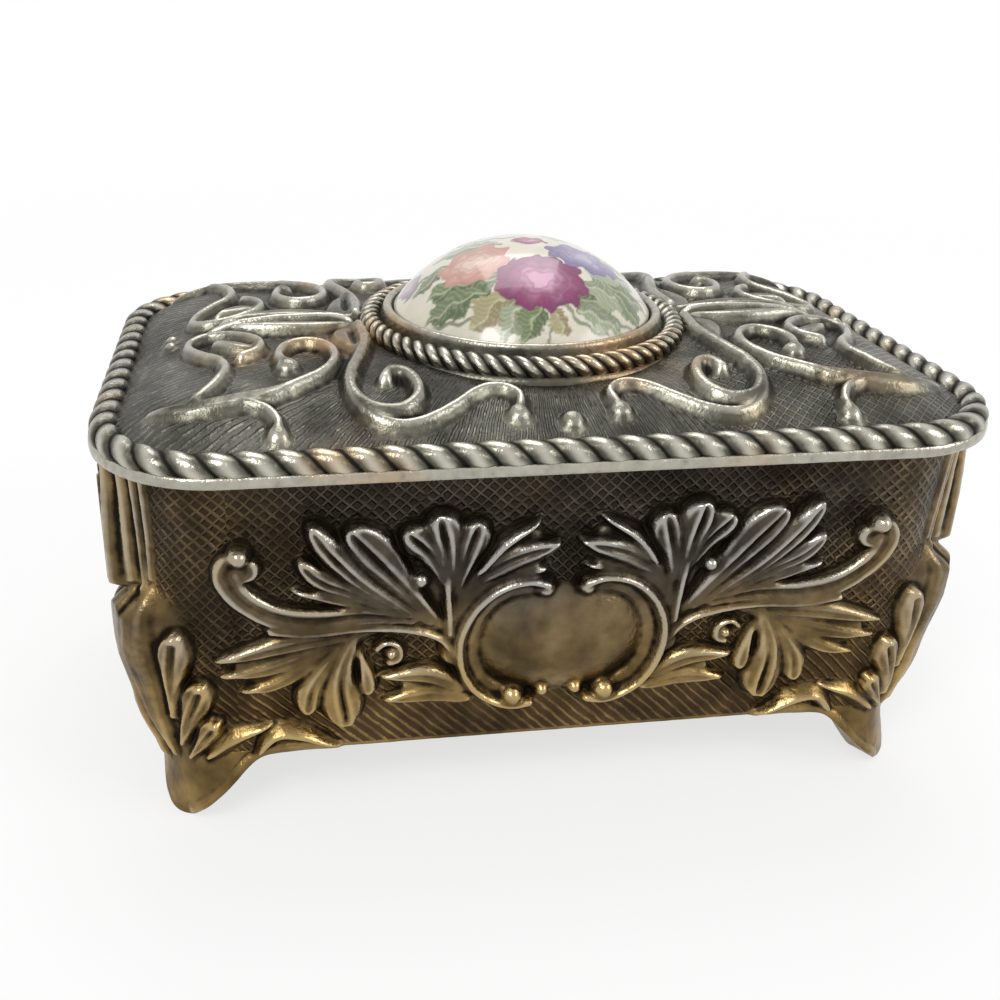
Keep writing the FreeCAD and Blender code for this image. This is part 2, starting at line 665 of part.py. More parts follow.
def lid_casting():
    """Flange with its rope rim, domed ground up to the flat bezel seat, hollow below, knuckles at the rear."""
    flange = lofted("flange", [(LID_BASE, LID_OUTLINE), (f"{LID_BASE} + flange_thickness", LID_OUTLINE)])
    dome = lofted("ground", ground_levels("0"))
    knuckles = []
    for side, station in HINGE_STATIONS.items():
        name = f"knuckle_{side}"
        knuckles.append(cylinder_along_x(name, "knuckle_radius", "knuckle_length", station, HINGE_Y, HINGE_Z))
        web = ("knuckle_length", "knuckle_radius", "hinge_drop + flange_thickness / 2")
        corner = (f"{station} - knuckle_length / 2", f"{HINGE_Y} - knuckle_radius / 2", HINGE_Z)
        knuckles.append(block(name + "_web", *web, *corner))
    plain = joined("plain_lid", [flange, dome] + knuckles)
    whole = joined("lid_with_relief", [plain, lid_ornament(), rope_rim()])
    mouth = drawn_in(LID_OUTLINE, "pocket_inset")[:2] + ["pocket_radius"]
    roof = f"{LID_BASE} + pocket_lift"
    ledge = [f"{side} - 2 * pocket_ledge" for side in mouth[:2]] + ["pocket_radius"]
    pocket = lofted("pocket", [(LID_BASE, mouth), (roof, mouth)])
    crown = ground_levels("0")[-1][1]
    hollow = lofted("hollow", [(roof, ledge), (f"{LID_BASE} + hollow_lift", drawn_in(crown, "hollow_inset"))])
    bores = hinge_bores("knuckle_bore", "pin_running_clearance", "2 * knuckle_length")
    return cut_by("lid_casting", whole, [pocket, hollow, bezel_well()] + bores)


def hinge_pin(side, station):
    """Wire pin through one hinge's lugs and knuckle."""
    length = "knuckle_length + 2 * knuckle_gap + 2 * lug_length"
    return cylinder_along_x(f"hinge_pin_{side}", "pin_radius", length, station, HINGE_Y, HINGE_Z)


def bezel_collar():
    """Turned ring: plinth, step, swelling band and lip round the cabochon."""
    body = body_named("bezel_collar")
    seat = BEZEL_SEAT
    band_low = "bezel_radius - bezel_step"
    band_high = f"{band_low} - bezel_band_run"
    vertices = [
        (BEZEL_BORE, seat),
        ("bezel_radius", seat),
        ("bezel_radius", f"{seat} + bezel_plinth"),
        (band_low, f"{seat} + bezel_plinth"),
        (band_high, f"{seat} + bezel_plinth + bezel_band_height"),
        (f"{band_high} - bezel_lip_run", f"{seat} + bezel_lip_height"),
        (f"{BEZEL_BORE} + bezel_lip_chamfer", f"{seat} + bezel_lip_height"),
        (BEZEL_BORE, f"{seat} + bezel_lip_height - bezel_lip_chamfer"),
    ]
    half = profile(body, "bezel_section", "XZ_Plane", vertices, {3: "bezel_band_radius"})
    revolution(body, "bezel_turn", half)
    return body


def porcelain_cabochon():
    """Domed disc with a plain girdle that drops into the bezel."""
    body = body_named("porcelain_cabochon")
    edge = f"{BEZEL_BORE} - cabochon_clearance"
    girdle = f"{CABOCHON_SEAT} + cabochon_girdle"
    dome = f"( ( {edge} ) * ( {edge} ) + cabochon_rise * cabochon_rise ) / ( 2 * cabochon_rise )"
    vertices = [
        ("0", CABOCHON_SEAT),
        (edge, CABOCHON_SEAT),
        (edge, girdle),
        ("0", f"{girdle} + cabochon_rise"),
    ]
    half = profile(body, "cabochon_section", "XZ_Plane", vertices, {2: dome})
    revolution(body, "cabochon_turn", half)
    return body


def cabochon_bed():
    """Card disc under the cabochon."""
    disc = doc.addObject("Part::Cylinder", "cabochon_bed")
    disc.setExpression("Radius", sized(f"{BEZEL_BORE} - cabochon_clearance"))
    disc.setExpression("Height", sized("bed_thickness"))
    return placed(disc, "0", "0", BEZEL_SEAT)


def wall_lining(label, outer, thickness):
    """Strip that stands on the floor and follows the walls all round."""
    height = "( wall_height - floor_thickness - lining_setback )"
    spread = f"wall_draft * {height} / ( wall_height - floor_thickness )"
    body = body_named(label)
    for name, inset, cut in (("outside", outer, False), ("inside", f"{outer} + {thickness}", True)):
        low = drawn_in(BODY_BASE, f"wall_thickness + {inset}")
        high = drawn_in(low, f"0 - {spread}")
        sections = [
            rounded_rectangle(body, f"{label}_{name}_low", FLOOR_TOP, low),
            rounded_rectangle(body, f"{label}_{name}_high", f"{FLOOR_TOP} + {height}", high),
        ]
        loft(body, f"{label}_{name}", sections, cut)
    return body


def floor_lining():
    """Card, wadding and crowned velvet on the floor, inside the wall lining."""
    room = "wall_thickness + 3 * lining_clearance + card_thickness + wall_velvet_thickness"
    sides = drawn_in(BODY_BASE, room)
    card_top = f"{FLOOR_TOP} + card_thickness"
    wadding_top = f"{card_top} + wadding_thickness"
    wadding = drawn_in(sides, "wadding_shrink")
    return [
        lofted("floor_card", [(FLOOR_TOP, sides), (card_top, sides)]),
        lofted("floor_wadding", [(card_top, wadding), (wadding_top, wadding)]),
        lofted("floor_velvet", [
            (wadding_top, sides),
            (f"{wadding_top} + velvet_edge", sides),
            (f"{wadding_top} + floor_velvet_thickness", drawn_in(sides, "velvet_roll")),
        ]),
    ]


def lid_lining():
    """Card, wadding and crowned velvet in the lid's pocket, the crown facing down."""
    mouth = drawn_in(LID_OUTLINE, "pocket_inset")[:2] + ["pocket_radius"]
    sides = drawn_in(mouth, "lid_card_clearance")
    card_top = f"{LID_BASE} + pocket_lift"
    card_base = f"{card_top} - lid_card_thickness"
    wadding_base = f"{card_base} - lid_wadding_thickness"
    wadding = drawn_in(sides, "wadding_shrink")
    return [
        lofted("lid_card", [(card_base, sides), (card_top, sides)]),
        lofted("lid_wadding", [(wadding_base, wadding), (card_base, wadding)]),
        lofted("lid_velvet", [
            (f"{wadding_base} - lid_velvet_thickness", drawn_in(sides, "velvet_roll")),
            (f"{wadding_base} - lid_velvet_edge", sides),
            (wadding_base, sides),
        ]),
    ]


pieces = [box_casting(), lid_casting(), bezel_collar(), porcelain_cabochon(), cabochon_bed()]
pieces += [hinge_pin(side, station) for side, station in HINGE_STATIONS.items()]
pieces.append(wall_lining("wall_card", "lining_clearance", "card_thickness"))
pieces.append(wall_lining("wall_velvet", "2 * lining_clearance + card_thickness", "wall_velvet_thickness"))
pieces += floor_lining()
pieces += lid_lining()
doc.recompute()

for item in doc.Objects:
    faults = [state for state in item.State if state in ("Invalid", "Error")]
    if faults:
        raise RuntimeError(f"{item.Name} is {faults}")
for piece in pieces:
    if piece.Shape.isNull() or not piece.Shape.isValid() or len(piece.Shape.Solids) != 1:
        raise RuntimeError(f"{piece.Label} has no single valid solid")

os.makedirs("parts", exist_ok=True)
for piece in pieces:
    piece.Shape.exportStep(f"parts/{piece.Label}.step")
    box = piece.Shape.BoundBox
    print(f"{piece.Label:20} volume {piece.Shape.Volume:9.1f} x {box.XMin:7.2f} {box.XMax:7.2f} "
          f"y {box.YMin:7.2f} {box.YMax:7.2f} z {box.ZMin:6.2f} {box.ZMax:6.2f}")
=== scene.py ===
import bpy
import bmesh
import json
import math
import numpy as np
from mathutils import Matrix, Vector

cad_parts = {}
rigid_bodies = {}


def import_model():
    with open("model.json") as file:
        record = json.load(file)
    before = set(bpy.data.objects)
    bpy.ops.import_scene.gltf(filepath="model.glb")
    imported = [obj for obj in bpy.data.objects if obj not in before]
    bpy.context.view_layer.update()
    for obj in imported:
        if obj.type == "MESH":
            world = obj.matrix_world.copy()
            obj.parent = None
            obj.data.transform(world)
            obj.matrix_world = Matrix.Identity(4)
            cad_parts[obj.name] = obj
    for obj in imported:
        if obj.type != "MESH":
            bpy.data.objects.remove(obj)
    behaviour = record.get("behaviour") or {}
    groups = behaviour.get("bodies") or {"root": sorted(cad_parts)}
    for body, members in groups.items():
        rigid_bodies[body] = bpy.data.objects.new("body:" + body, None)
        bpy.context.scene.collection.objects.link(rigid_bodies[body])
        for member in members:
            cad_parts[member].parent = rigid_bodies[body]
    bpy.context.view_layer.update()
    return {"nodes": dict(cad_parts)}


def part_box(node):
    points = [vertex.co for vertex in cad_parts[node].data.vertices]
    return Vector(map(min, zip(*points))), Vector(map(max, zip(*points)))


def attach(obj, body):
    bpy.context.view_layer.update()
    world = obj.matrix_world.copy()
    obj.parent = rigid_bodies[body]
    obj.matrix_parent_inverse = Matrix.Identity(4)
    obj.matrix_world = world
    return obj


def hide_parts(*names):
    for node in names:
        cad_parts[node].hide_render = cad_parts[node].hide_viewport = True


for left_over in list(bpy.data.objects):
    bpy.data.objects.remove(left_over)
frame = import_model()

# Lengths below are millimetres; the frame is in metres.
MM = 0.001


def extent(node):
    """Lowest and highest corner of a solid, in millimetres."""
    low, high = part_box(node)
    return np.array(low) / MM, np.array(high) / MM


BOX_HIGH = extent("box_casting")[1]
LID_HIGH = extent("lid_casting")[1]
BEZEL_LOW, BEZEL_HIGH = extent("bezel_collar")
CABOCHON_LOW, CABOCHON_HIGH = extent("porcelain_cabochon")
PIN_LOW, PIN_HIGH = extent("hinge_pin_left")

# Box casting
RIM = BOX_HIGH[2]
LID_HALF = LID_HIGH[:2]
LID_RADIUS = 15.0
OVERHANG = 3.3
DRAFT = 2.3
FOOT_HEIGHT = 9.0
FOOT_FLARE = 1.7
FOOT_THICKNESS = 3.2
FOOT_TOE = 1.9
TOE_SOFTNESS = 0.6
KNEE_SOFTNESS = 0.6
WALL_THICKNESS = 2.2
FLOOR_THICKNESS = 2.2
TOP_RADIUS = LID_RADIUS - OVERHANG
BASE_RADIUS = TOP_RADIUS - DRAFT
CORNER = LID_HALF - LID_RADIUS
MIDDLE_RADIUS = 10.9
CORNER_LENGTH = MIDDLE_RADIUS * math.pi / 2
WALL_STEP = 0.19
FOOT_ROWS = 8.5
LAP_DEPTH = 0.06
LID_MARGIN = 0.5
RIM_EASE = 0.35
RIM_STEP_IN = 0.1
RIM_STEP_DOWN = 0.25
RELIEF_FADE = 0.8
WALL_GRAIN = 0.06
WALL_GRAIN_SEED = 5
WALL_BODY_RISE = 0.12
SWELL_IN_BODY = 0.2
WALL_HATCH = 1.5
FLOOR_INSET = 1.0
EDGE_REACH = 0.4
HOLLOW_REACH = 0.9

# Lid casting
LID_BASE = RIM + 0.2
FLANGE_TOP = LID_BASE + 1.4
ROPE_INSET = 1.75
ROPE_RADIUS = 1.68
ROPE_HEIGHT = LID_BASE + 1.9
ROPE_STRANDS = 2
ROPE_TURNS = 42
GROUND_EDGE = LID_BASE + 2.3
GROUND_INSET = 3.0
DOME_RISE = 4.6
DOME_RUN = 7.0
LID_STEP = 0.235
LID_GRAIN = 0.05
LID_GRAIN_SEED = 9
LID_BODY_RISE = 0.06
LID_HATCH = 1.3
GROUND_TUCK = 1.0
POCKET_INSET = 9.0
BEZEL_OVERLAP = 2.1
STROKES = 300

# Lining
PAD_CROWN = 0.6
PAD_RIM = 0.4
PAD_STEP = 1.15
PAD_FRAMES = 20
PAD_PRESSURE = 4.0
PAD_START = 0.7
PAD_BEND_STEPS = 8
CLOTH_SCALE = 10
FLOOR_PAD_RADIUS = 5.1
LID_PAD_RADIUS = 6.7
WADDING_EASE = 0.4
LINING_THICKNESS = 0.8
LINING_SWELL = 0.12
LINING_STEPS = 22
LINING_BACK_ROLL = 0.3
LINING_FACE_ROLL = 0.35

# Bezel and cabochon
BEZEL_SEAT = BEZEL_LOW[2]
BEZEL_RADIUS = BEZEL_HIGH[0]
BEZEL_TOP = BEZEL_HIGH[2]
BEZEL_BORE = 16.5
GADROON_RADIUS = 1.4
GADROON_STRANDS = 3
GADROON_TURNS = 22
GADROON_LIFT = 1.75
GADROON_INSET = 0.25
GIRDLE = 3.0

# Hinges
BARREL_RADIUS = 1.3
BARREL_SIDES = 28
BARREL_EASE = 0.2
KNUCKLE_HALF = 2.0
KNUCKLE_WEB = (0.65, 2.2)
LUG_HALF = 1.5
LUG_FROM_MIDDLE = 3.65
LUG_DROP = -1.3
LUG_BITE = 1.0
WEB_CLEARANCE = 0.12
WEB_BEVEL = 0.15

# Camera read from the photograph: focal length and principal point in pixels of its frame, place in
# millimetres, angles in radians.
PHOTO_WIDTH = 1000
FOCAL = 1108.1
PHOTO_MIDDLE = (421.4, 430.1)
CAMERA_PLACE = (-31.73, -135.20, 95.17)
YAW = 0.140
PITCH = 0.397
ROLL = -0.014

# Ornament of half a long wall, mirrored to the other half: how far from the middle and how high.
# Each form is its kind, the points of its middle line, its half width and its rise.
LONG_WALL = [
    ("mass", [(13.0, 24.8), (13.4, 31.0), (14.0, 38.4)], 3.6, 0.7),
    ("mass", [(14.0, 25.0), (19.6, 31.0), (25.4, 37.0)], 3.8, 0.7),
    ("mass", [(12.0, 29.6), (8.4, 33.4), (2.6, 36.8)], 2.8, 0.8),
    ("mass", [(21.5, 25.8), (28.5, 23.8), (37.5, 21.4)], 3.0, 0.9),
    ("mass", [(23.6, 26.0), (26.2, 20.4), (26.8, 14.6)], 3.0, 0.7),
    ("mass", [(10.2, 16.2), (14.4, 17.6), (18.6, 17.8)], 1.8, 0.8),
    ("ledge", [(12.6, 22.0), (12.7, 26.0), (11.2, 29.8), (8.2, 32.2), (4.6, 33.0)], 1.7, 1.35),
    ("rod", [(2.2, 31.3), (4.6, 31.9), (7.6, 31.1), (10.2, 28.8), (11.7, 25.8), (12.1, 23.0), (11.5, 19.6),
             (9.9, 16.9), (7.6, 15.2), (5.4, 14.6), (3.4, 14.9)], 0.75, 2.3),
    ("ledge", [(3.0, 31.0), (7.2, 30.2), (9.8, 27.8), (11.0, 24.6), (11.1, 21.6), (10.2, 18.4), (8.0, 16.2),
               (5.2, 15.6)], 1.5, 1.0),
    ("ball", [(2.4, 30.6)], 1.25, 2.1),
    ("ball", [(5.6, 15.7)], 1.6, 2.5),
    ("ball", [(2.0, 16.4)], 1.05, 2.1),
    ("blade", [(10.4, 33.2), (7.4, 36.9), (3.3, 39.7)], 1.15, 2.4),
    ("leaf", [(11.4, 31.4), (6.6, 34.8), (0.9, 36.8)], 2.0, 2.3),
    ("leaf", [(11.2, 30.2), (6.8, 32.6), (2.0, 33.2)], 1.2, 1.7),
    ("rod", [(13.2, 25.2), (13.5, 29.5), (13.9, 34.5)], 0.6, 1.8),
    ("lobe", [(12.6, 30.0), (11.9, 34.6), (10.3, 40.0)], 2.2, 2.2),
    ("lobe", [(13.4, 31.0), (13.9, 36.2), (14.8, 41.4)], 2.3, 2.6),
    ("lobe", [(13.9, 31.5), (15.6, 36.0), (18.5, 39.4)], 2.2, 2.3),
    ("ball", [(16.7, 32.6)], 1.1, 2.0),
    ("lobe", [(14.2, 26.2), (18.2, 31.4), (21.6, 35.8), (24.7, 39.8)], 2.8, 2.1),
    ("lobe", [(15.5, 26.6), (22.4, 32.2), (26.3, 36.6), (28.9, 40.6)], 1.7, 2.5),
    ("lobe", [(16.5, 26.6), (23.6, 31.2), (27.6, 33.4), (30.2, 36.0)], 1.5, 1.9),
    ("leaf", [(14.0, 25.0), (20.0, 28.7), (25.5, 30.6), (31.0, 31.8)], 1.4, 1.6),
    ("hook", [(17.6, 27.4), (23.0, 28.2), (28.6, 27.9), (33.0, 28.9), (36.4, 31.4), (37.8, 34.2),
              (37.0, 35.9), (35.7, 35.1)], 1.6, 2.3),
    ("ball", [(36.4, 36.9)], 1.45, 2.6),
    ("rod", [(11.9, 21.3), (14.4, 24.5), (18.0, 26.0), (23.0, 26.6), (29.0, 26.3), (33.5, 26.9)], 0.6, 1.7),
    ("leaf", [(22.0, 25.8), (31.0, 25.0), (40.2, 22.9)], 1.6, 1.7),
    ("leaf", [(25.5, 24.6), (33.0, 21.9), (39.6, 20.7)], 1.4, 1.5),
    ("leaf", [(26.5, 23.6), (32.6, 19.7), (37.2, 18.4)], 1.3, 1.5),
    ("lobe", [(23.8, 26.0), (25.7, 20.0), (25.2, 12.9)], 2.5, 2.2),
    ("lobe", [(25.4, 24.4), (28.9, 19.0), (29.7, 14.9)], 1.7, 1.9),
    ("lobe", [(23.8, 24.0), (22.9, 20.6), (22.4, 17.0)], 1.2, 1.6),
    ("rod", [(21.6, 23.4), (20.4, 24.3), (18.9, 23.5), (18.9, 21.9), (20.2, 21.4)], 0.5, 1.4),
    ("ball", [(19.9, 22.7)], 0.85, 1.7),
    ("leaf", [(10.8, 16.6), (15.6, 19.4), (21.4, 19.6)], 1.5, 1.8),
    ("leaf", [(10.2, 15.0), (15.0, 16.5), (21.0, 16.0)], 1.5, 1.5),
]
PILLOW_HALF = (10.2, 7.6)
PILLOW_CENTRE = 23.1
PILLOW_RISE = 2.7
PILLOW_ROUNDNESS = 0.85

# Ornament of half an end wall
END_WALL = [
    ("lobe", [(0.6, 22.0), (1.4, 30.0), (0.4, 41.0)], 2.2, 2.4),
    ("lobe", [(0.8, 23.0), (4.2, 30.5), (6.0, 38.6)], 1.9, 2.1),
    ("lobe", [(1.2, 23.0), (6.6, 28.6), (11.4, 34.4)], 1.7, 1.9),
    ("hook", [(2.0, 22.2), (7.6, 22.6), (12.6, 25.2), (14.8, 29.2), (13.4, 31.6), (11.8, 30.6)], 1.4, 2.1),
    ("ball", [(12.8, 29.0)], 1.1, 2.1),
    ("leaf", [(1.5, 20.6), (8.4, 20.0), (15.6, 21.8)], 1.5, 1.7),
    ("leaf", [(2.0, 19.4), (8.0, 16.4), (14.4, 16.8)], 1.4, 1.6),
    ("lobe", [(1.2, 20.0), (4.6, 16.6), (6.4, 12.2)], 1.6, 1.8),
    ("lobe", [(0.4, 20.0), (1.0, 16.0), (0.4, 11.6)], 1.5, 1.9),
    ("ball", [(0.0, 21.4)], 1.7, 2.6),
]

# Ornament of a corner: how far from its middle towards the long wall, and how high
CORNER_POST = [
    ("rod", [(-0.6, 45.6), (-0.8, 38.0), (-1.4, 31.6)], 0.55, 0.7),
    ("rod", [(-2.1, 45.6), (-2.2, 38.0), (-2.5, 30.4)], 0.6, 0.8),
    ("rod", [(-3.7, 45.6), (-3.8, 38.0), (-3.8, 30.8)], 0.6, 0.9),
    ("rod", [(-5.3, 45.6), (-5.4, 38.0), (-5.2, 30.2)], 0.75, 1.0),
    ("lobe", [(-7.3, 30.0), (-7.4, 33.0), (-7.2, 36.6)], 1.3, 1.4),
    ("lobe", [(-7.2, 36.0), (-7.5, 39.0), (-7.2, 42.4)], 1.3, 1.3),
    ("lobe", [(-9.8, 29.6), (-10.2, 33.0), (-9.8, 37.4)], 1.5, 1.5),
    ("lobe", [(-9.8, 37.0), (-10.2, 40.0), (-9.8, 44.6)], 1.5, 1.4),
    ("hook", [(-12.4, 30.0), (-13.4, 35.0), (-13.0, 40.6), (-11.6, 43.2)], 1.3, 1.3),
    ("leaf", [(-1.4, 31.0), (-2.4, 21.0), (-1.0, 7.0)], 1.7, 1.1),
    ("leaf", [(-4.2, 31.5), (-4.8, 21.0), (-3.0, 6.0)], 1.8, 1.2),
    ("leaf", [(-7.2, 31.0), (-7.4, 21.0), (-5.0, 8.0)], 1.8, 1.1),
    ("lobe", [(0.2, 13.8), (1.3, 20.0), (2.3, 26.4)], 1.8, 1.8),
    ("ball", [(2.3, 25.7)], 0.7, 2.2),
    ("lobe", [(0.6, 9.6), (2.8, 14.8), (4.7, 19.8)], 2.0, 1.7),
    ("ball", [(4.6, 19.2)], 0.7, 2.1),
    ("lobe", [(1.8, 8.2), (4.0, 11.2), (6.0, 14.4)], 1.6, 1.5),
    ("ball", [(5.9, 13.9)], 0.7, 2.0),
    ("lobe", [(-8.6, 13.8), (-9.9, 20.0), (-11.2, 26.4)], 1.7, 2.0),
    ("lobe", [(-7.4, 9.2), (-9.8, 13.6), (-11.8, 18.0)], 1.8, 1.8),
    ("blade", [(4.2, 8.8), (7.8, 11.6), (12.4, 13.5)], 1.3, 1.5),
    ("blade", [(10.4, 9.4), (12.6, 12.0), (15.6, 11.9), (20.2, 9.5)], 1.35, 2.0),
    ("rod", [(2.2, 1.2), (6.0, 4.4), (10.0, 8.6), (14.6, 9.5), (20.0, 9.5)], 0.6, 0.5),
]

# Ornament of a quarter of the lid, mirrored left to right and front to back: how far from the middle and how
# far in front of it.
LID_QUARTER = [
    ("rod", [(21.2, 2.6), (20.9, 8.3), (22.0, 13.5), (23.3, 18.0), (23.5, 21.7), (22.2, 24.5), (20.5, 25.6),
             (18.2, 25.5), (16.4, 23.6), (16.2, 20.8), (17.2, 18.4), (18.8, 18.0), (19.6, 19.6)], 1.05, 1.6),
    ("rod", [(22.9, 18.6), (23.7, 22.0), (22.6, 25.2), (20.4, 27.1), (17.8, 27.6), (15.0, 26.7), (12.4, 25.0),
             (10.0, 22.9), (8.0, 22.0), (6.2, 22.4), (5.1, 23.7), (5.3, 25.2)], 0.8, 1.35),
    ("ball", [(5.7, 26.4)], 1.45, 1.25),
    ("leaf", [(46.0, 22.2), (40.5, 23.6), (35.5, 23.0), (31.0, 21.4), (27.0, 18.2)], 1.35, 1.7),
    ("rod", [(30.4, 21.2), (26.6, 18.0), (25.0, 14.8), (24.9, 12.0), (25.8, 9.8), (27.4, 8.7), (29.2, 8.9),
             (30.7, 10.4), (31.2, 12.8), (30.7, 15.0)], 0.9, 1.65),
    ("ball", [(30.3, 15.6)], 1.65, 1.7),
    ("rod", [(40.4, 22.6), (38.4, 19.6), (37.3, 15.8), (37.9, 12.6), (39.9, 10.0), (41.6, 7.0), (42.0, 4.4),
             (40.8, 2.9), (38.6, 2.7), (36.2, 3.7), (34.2, 5.6), (33.3, 8.0), (33.9, 10.4),
             (35.6, 11.9)], 0.85, 1.5),
    ("leaf", [(33.6, 8.4), (36.6, 7.4), (39.4, 5.4)], 1.2, 1.6),
    ("rod", [(35.2, 23.4), (32.9, 24.5), (31.7, 26.4), (31.7, 27.8)], 0.8, 1.4),
    ("ball", [(31.7, 28.2)], 1.4, 1.35),
    ("leaf", [(22.0, 1.5), (23.6, 5.5), (22.4, 11.5)], 1.3, 1.2),
    ("leaf", [(21.5, 1.5), (29.5, 2.5), (39.4, 1.1)], 1.35, 2.1),
    ("blade", [(21.5, 0.0), (30.0, 0.0), (40.5, 0.0)], 1.1, 2.3),
    ("ball", [(44.6, 1.2)], 1.0, 1.0),
    ("ball", [(0.0, 27.6)], 1.45, 1.2),
]


def flat_row(values):
    """Values as one flat row of 32 bit floats."""
    return np.ascontiguousarray(values, dtype=np.float32).ravel()


def mesh_from(name, points, faces, marks=None):
    """Mesh from points in millimetres and a list of face index arrays, with float marks on its points."""
    mesh = bpy.data.meshes.new(name)
    mesh.vertices.add(len(points))
    mesh.vertices.foreach_set("co", flat_row(np.asarray(points) * MM))
    corners = np.concatenate([np.asarray(group).ravel() for group in faces])
    totals = np.concatenate([np.full(len(group), np.asarray(group).shape[1]) for group in faces])
    starts = np.concatenate([[0], np.cumsum(totals)[:-1]])
    mesh.loops.add(len(corners))
    mesh.loops.foreach_set("vertex_index", corners.astype(np.int32))
    mesh.polygons.add(len(totals))
    mesh.polygons.foreach_set("loop_start", starts.astype(np.int32))
    mesh.polygons.foreach_set("use_smooth", np.ones(len(totals), dtype=bool))
    mesh.update(calc_edges=True)
    for label, values in (marks or {}).items():
        mesh.attributes.new(label, "FLOAT", "POINT").data.foreach_set("value", flat_row(values))
    return mesh


def add_piece(name, mesh, material, body, slot, *nodes):
    """Finished piece: its material, the body that carries it and the solids that it stands for."""
    piece = bpy.data.objects.new(name, mesh)
    bpy.context.scene.collection.objects.link(piece)
    if material:
        mesh.materials.clear()
        mesh.materials.append(material)
    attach(piece, body)
    if nodes:
        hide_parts(*nodes)
    return piece


def grid_faces(columns, rows, loop_columns=False, loop_rows=False):
    """Quads over a grid of points stored column by column."""
    index = np.arange(columns * rows).reshape(columns, rows)
    if loop_columns:
        index = np.vstack([index, index[:1]])
    if loop_rows:
        index = np.hstack([index, index[:, :1]])
    return np.stack([index[:-1, :-1], index[1:, :-1], index[1:, 1:], index[:-1, 1:]], axis=-1).reshape(-1, 4)


def smooth_line(points, count=36):
    """Points along a smooth line through the given ones."""
    given = np.asarray(points, dtype=float)
    if len(given) == 1:
        return given
    ends = np.vstack([2 * given[0] - given[1], given, 2 * given[-1] - given[-2]])
    parts = []
    per_run = max(count // (len(given) - 1), 4)
    for run in range(len(given) - 1):
        a, b, c, d = ends[run:run + 4]
        t = np.linspace(0, 1, per_run, endpoint=False)[:, None]
        bend = (2 * a - 5 * b + 4 * c - d) * t ** 2 + (3 * b - a - 3 * c + d) * t ** 3
        parts.append(0.5 * (2 * b + (c - a) * t + bend))
    parts.append(given[-1:])
    return np.vstack(parts)


def nearest_on(line, x, y):
    """Distance to a line, the share of its length there, and which side, left positive."""
    if len(line) == 1:
        return np.hypot(x - line[0, 0], y - line[0, 1]), np.zeros_like(x), np.ones_like(x)
    start, run = line[:-1], np.diff(line, axis=0)
    length = np.hypot(run[:, 0], run[:, 1])
    before = np.concatenate([[0], np.cumsum(length)[:-1]])
    dx = x[:, None] - start[:, 0]
    dy = y[:, None] - start[:, 1]
    along = np.clip((dx * run[:, 0] + dy * run[:, 1]) / length ** 2, 0, 1)
    gap = np.hypot(dx - along * run[:, 0], dy - along * run[:, 1])
    best = gap.argmin(axis=1)
    rows = np.arange(len(x))
    side = np.sign(run[best, 0] * dy[rows, best] - run[best, 1] * dx[rows, best])
    share = (before[best] + along[rows, best] * length[best]) / length.sum()
    return gap[rows, best], share, side


def form_height(kind, share, across):
    """Rise of a form, from 0 to 1, at a share of its length and at -1 to 1 across its width."""
    edge = np.clip(1 - across ** 2, 0, 1)
    if kind in ("rod", "ball"):
        return np.sqrt(edge)
    if kind == "ledge":
        return edge ** 0.35
    if kind == "mass":
        return edge ** 0.4 * (0.6 + 0.4 * np.clip(share * 2, 0, 1))
    if kind == "blade":
        return (1 - np.abs(across)) ** 0.75
    if kind == "hook":
        return edge ** 0.3 * (0.42 + 0.58 * np.abs(across) ** 1.3)
    vein = 1 - 0.30 * np.exp(-((across + 0.06) / 0.16) ** 2)
    ribs = 1 + 0.07 * np.cos(across * 11 + share * 5)
    lift = 0.55 + 0.45 * np.sin(np.clip(share, 0, 1) * math.pi * 0.62)
    if kind == "leaf":
        return edge ** 0.55 * vein * lift
    return edge ** 0.45 * vein * ribs * lift


def form_width(kind, share):
    """Width of a form along its length, as a share of its widest."""
    if kind in ("leaf", "blade"):
        return np.clip(np.sin(math.pi * np.clip(share, 0, 1) ** 0.8), 0, 1) ** 0.75 + 0.02
    if kind in ("lobe", "mass"):
        swell = 0.22 + 0.78 * np.clip(share / 0.72, 0, 1) ** 1.3
        tip = np.sqrt(np.clip(1 - (np.clip(share - 0.72, 0, 1) / 0.28) ** 2.4, 0, 1))
        return swell * tip + 0.02
    if kind == "hook":
        return 0.4 + 0.6 * np.clip(share / 0.4, 0, 1)
    return np.ones_like(share)


def lay(field, across, up, form, mirrored=True):
    """Raise one ornament form, and its mirror image, out of a height field."""
    kind, points, half_width, rise = form
    line = smooth_line(points)
    low = line.min(axis=0) - half_width
    high = line.max(axis=0) + half_width
    for side in ((1, -1) if mirrored else (1,)):
        place = across * side
        columns = np.nonzero((place >= low[0]) & (place <= high[0]))[0]
        if not len(columns):
            continue
        height = up[columns]
        near = (height >= low[1]) & (height <= high[1])
        if not near.any():
            continue
        x = np.broadcast_to(place[columns][:, None], near.shape)[near]
        gap, share, left = nearest_on(line, x, height[near])
        width = half_width * form_width(kind, share)
        reach = np.clip(gap / width, 0, 1) * left
        value = np.where(gap < width, rise * form_height(kind, share, reach), 0)
        block = field[columns]
        block[near] = np.maximum(block[near], value)
        field[columns] = block


def softened(field, reach, wrapped):
    """Height field averaged over a square of points, twice."""
    for axis in (0, 1, 0, 1):
        mode = "wrap" if wrapped and axis == 0 else "edge"
        pads = [(0, 0), (0, 0)]
        pads[axis] = (reach + 1, reach)
        sums = np.cumsum(np.pad(field, pads, mode=mode), axis=axis)
        span = 2 * reach + 1
        count = field.shape[axis]
        upper = np.take(sums, np.arange(span, span + count), axis=axis)
        lower = np.take(sums, np.arange(0, count), axis=axis)
        field = (upper - lower) / span
    return field


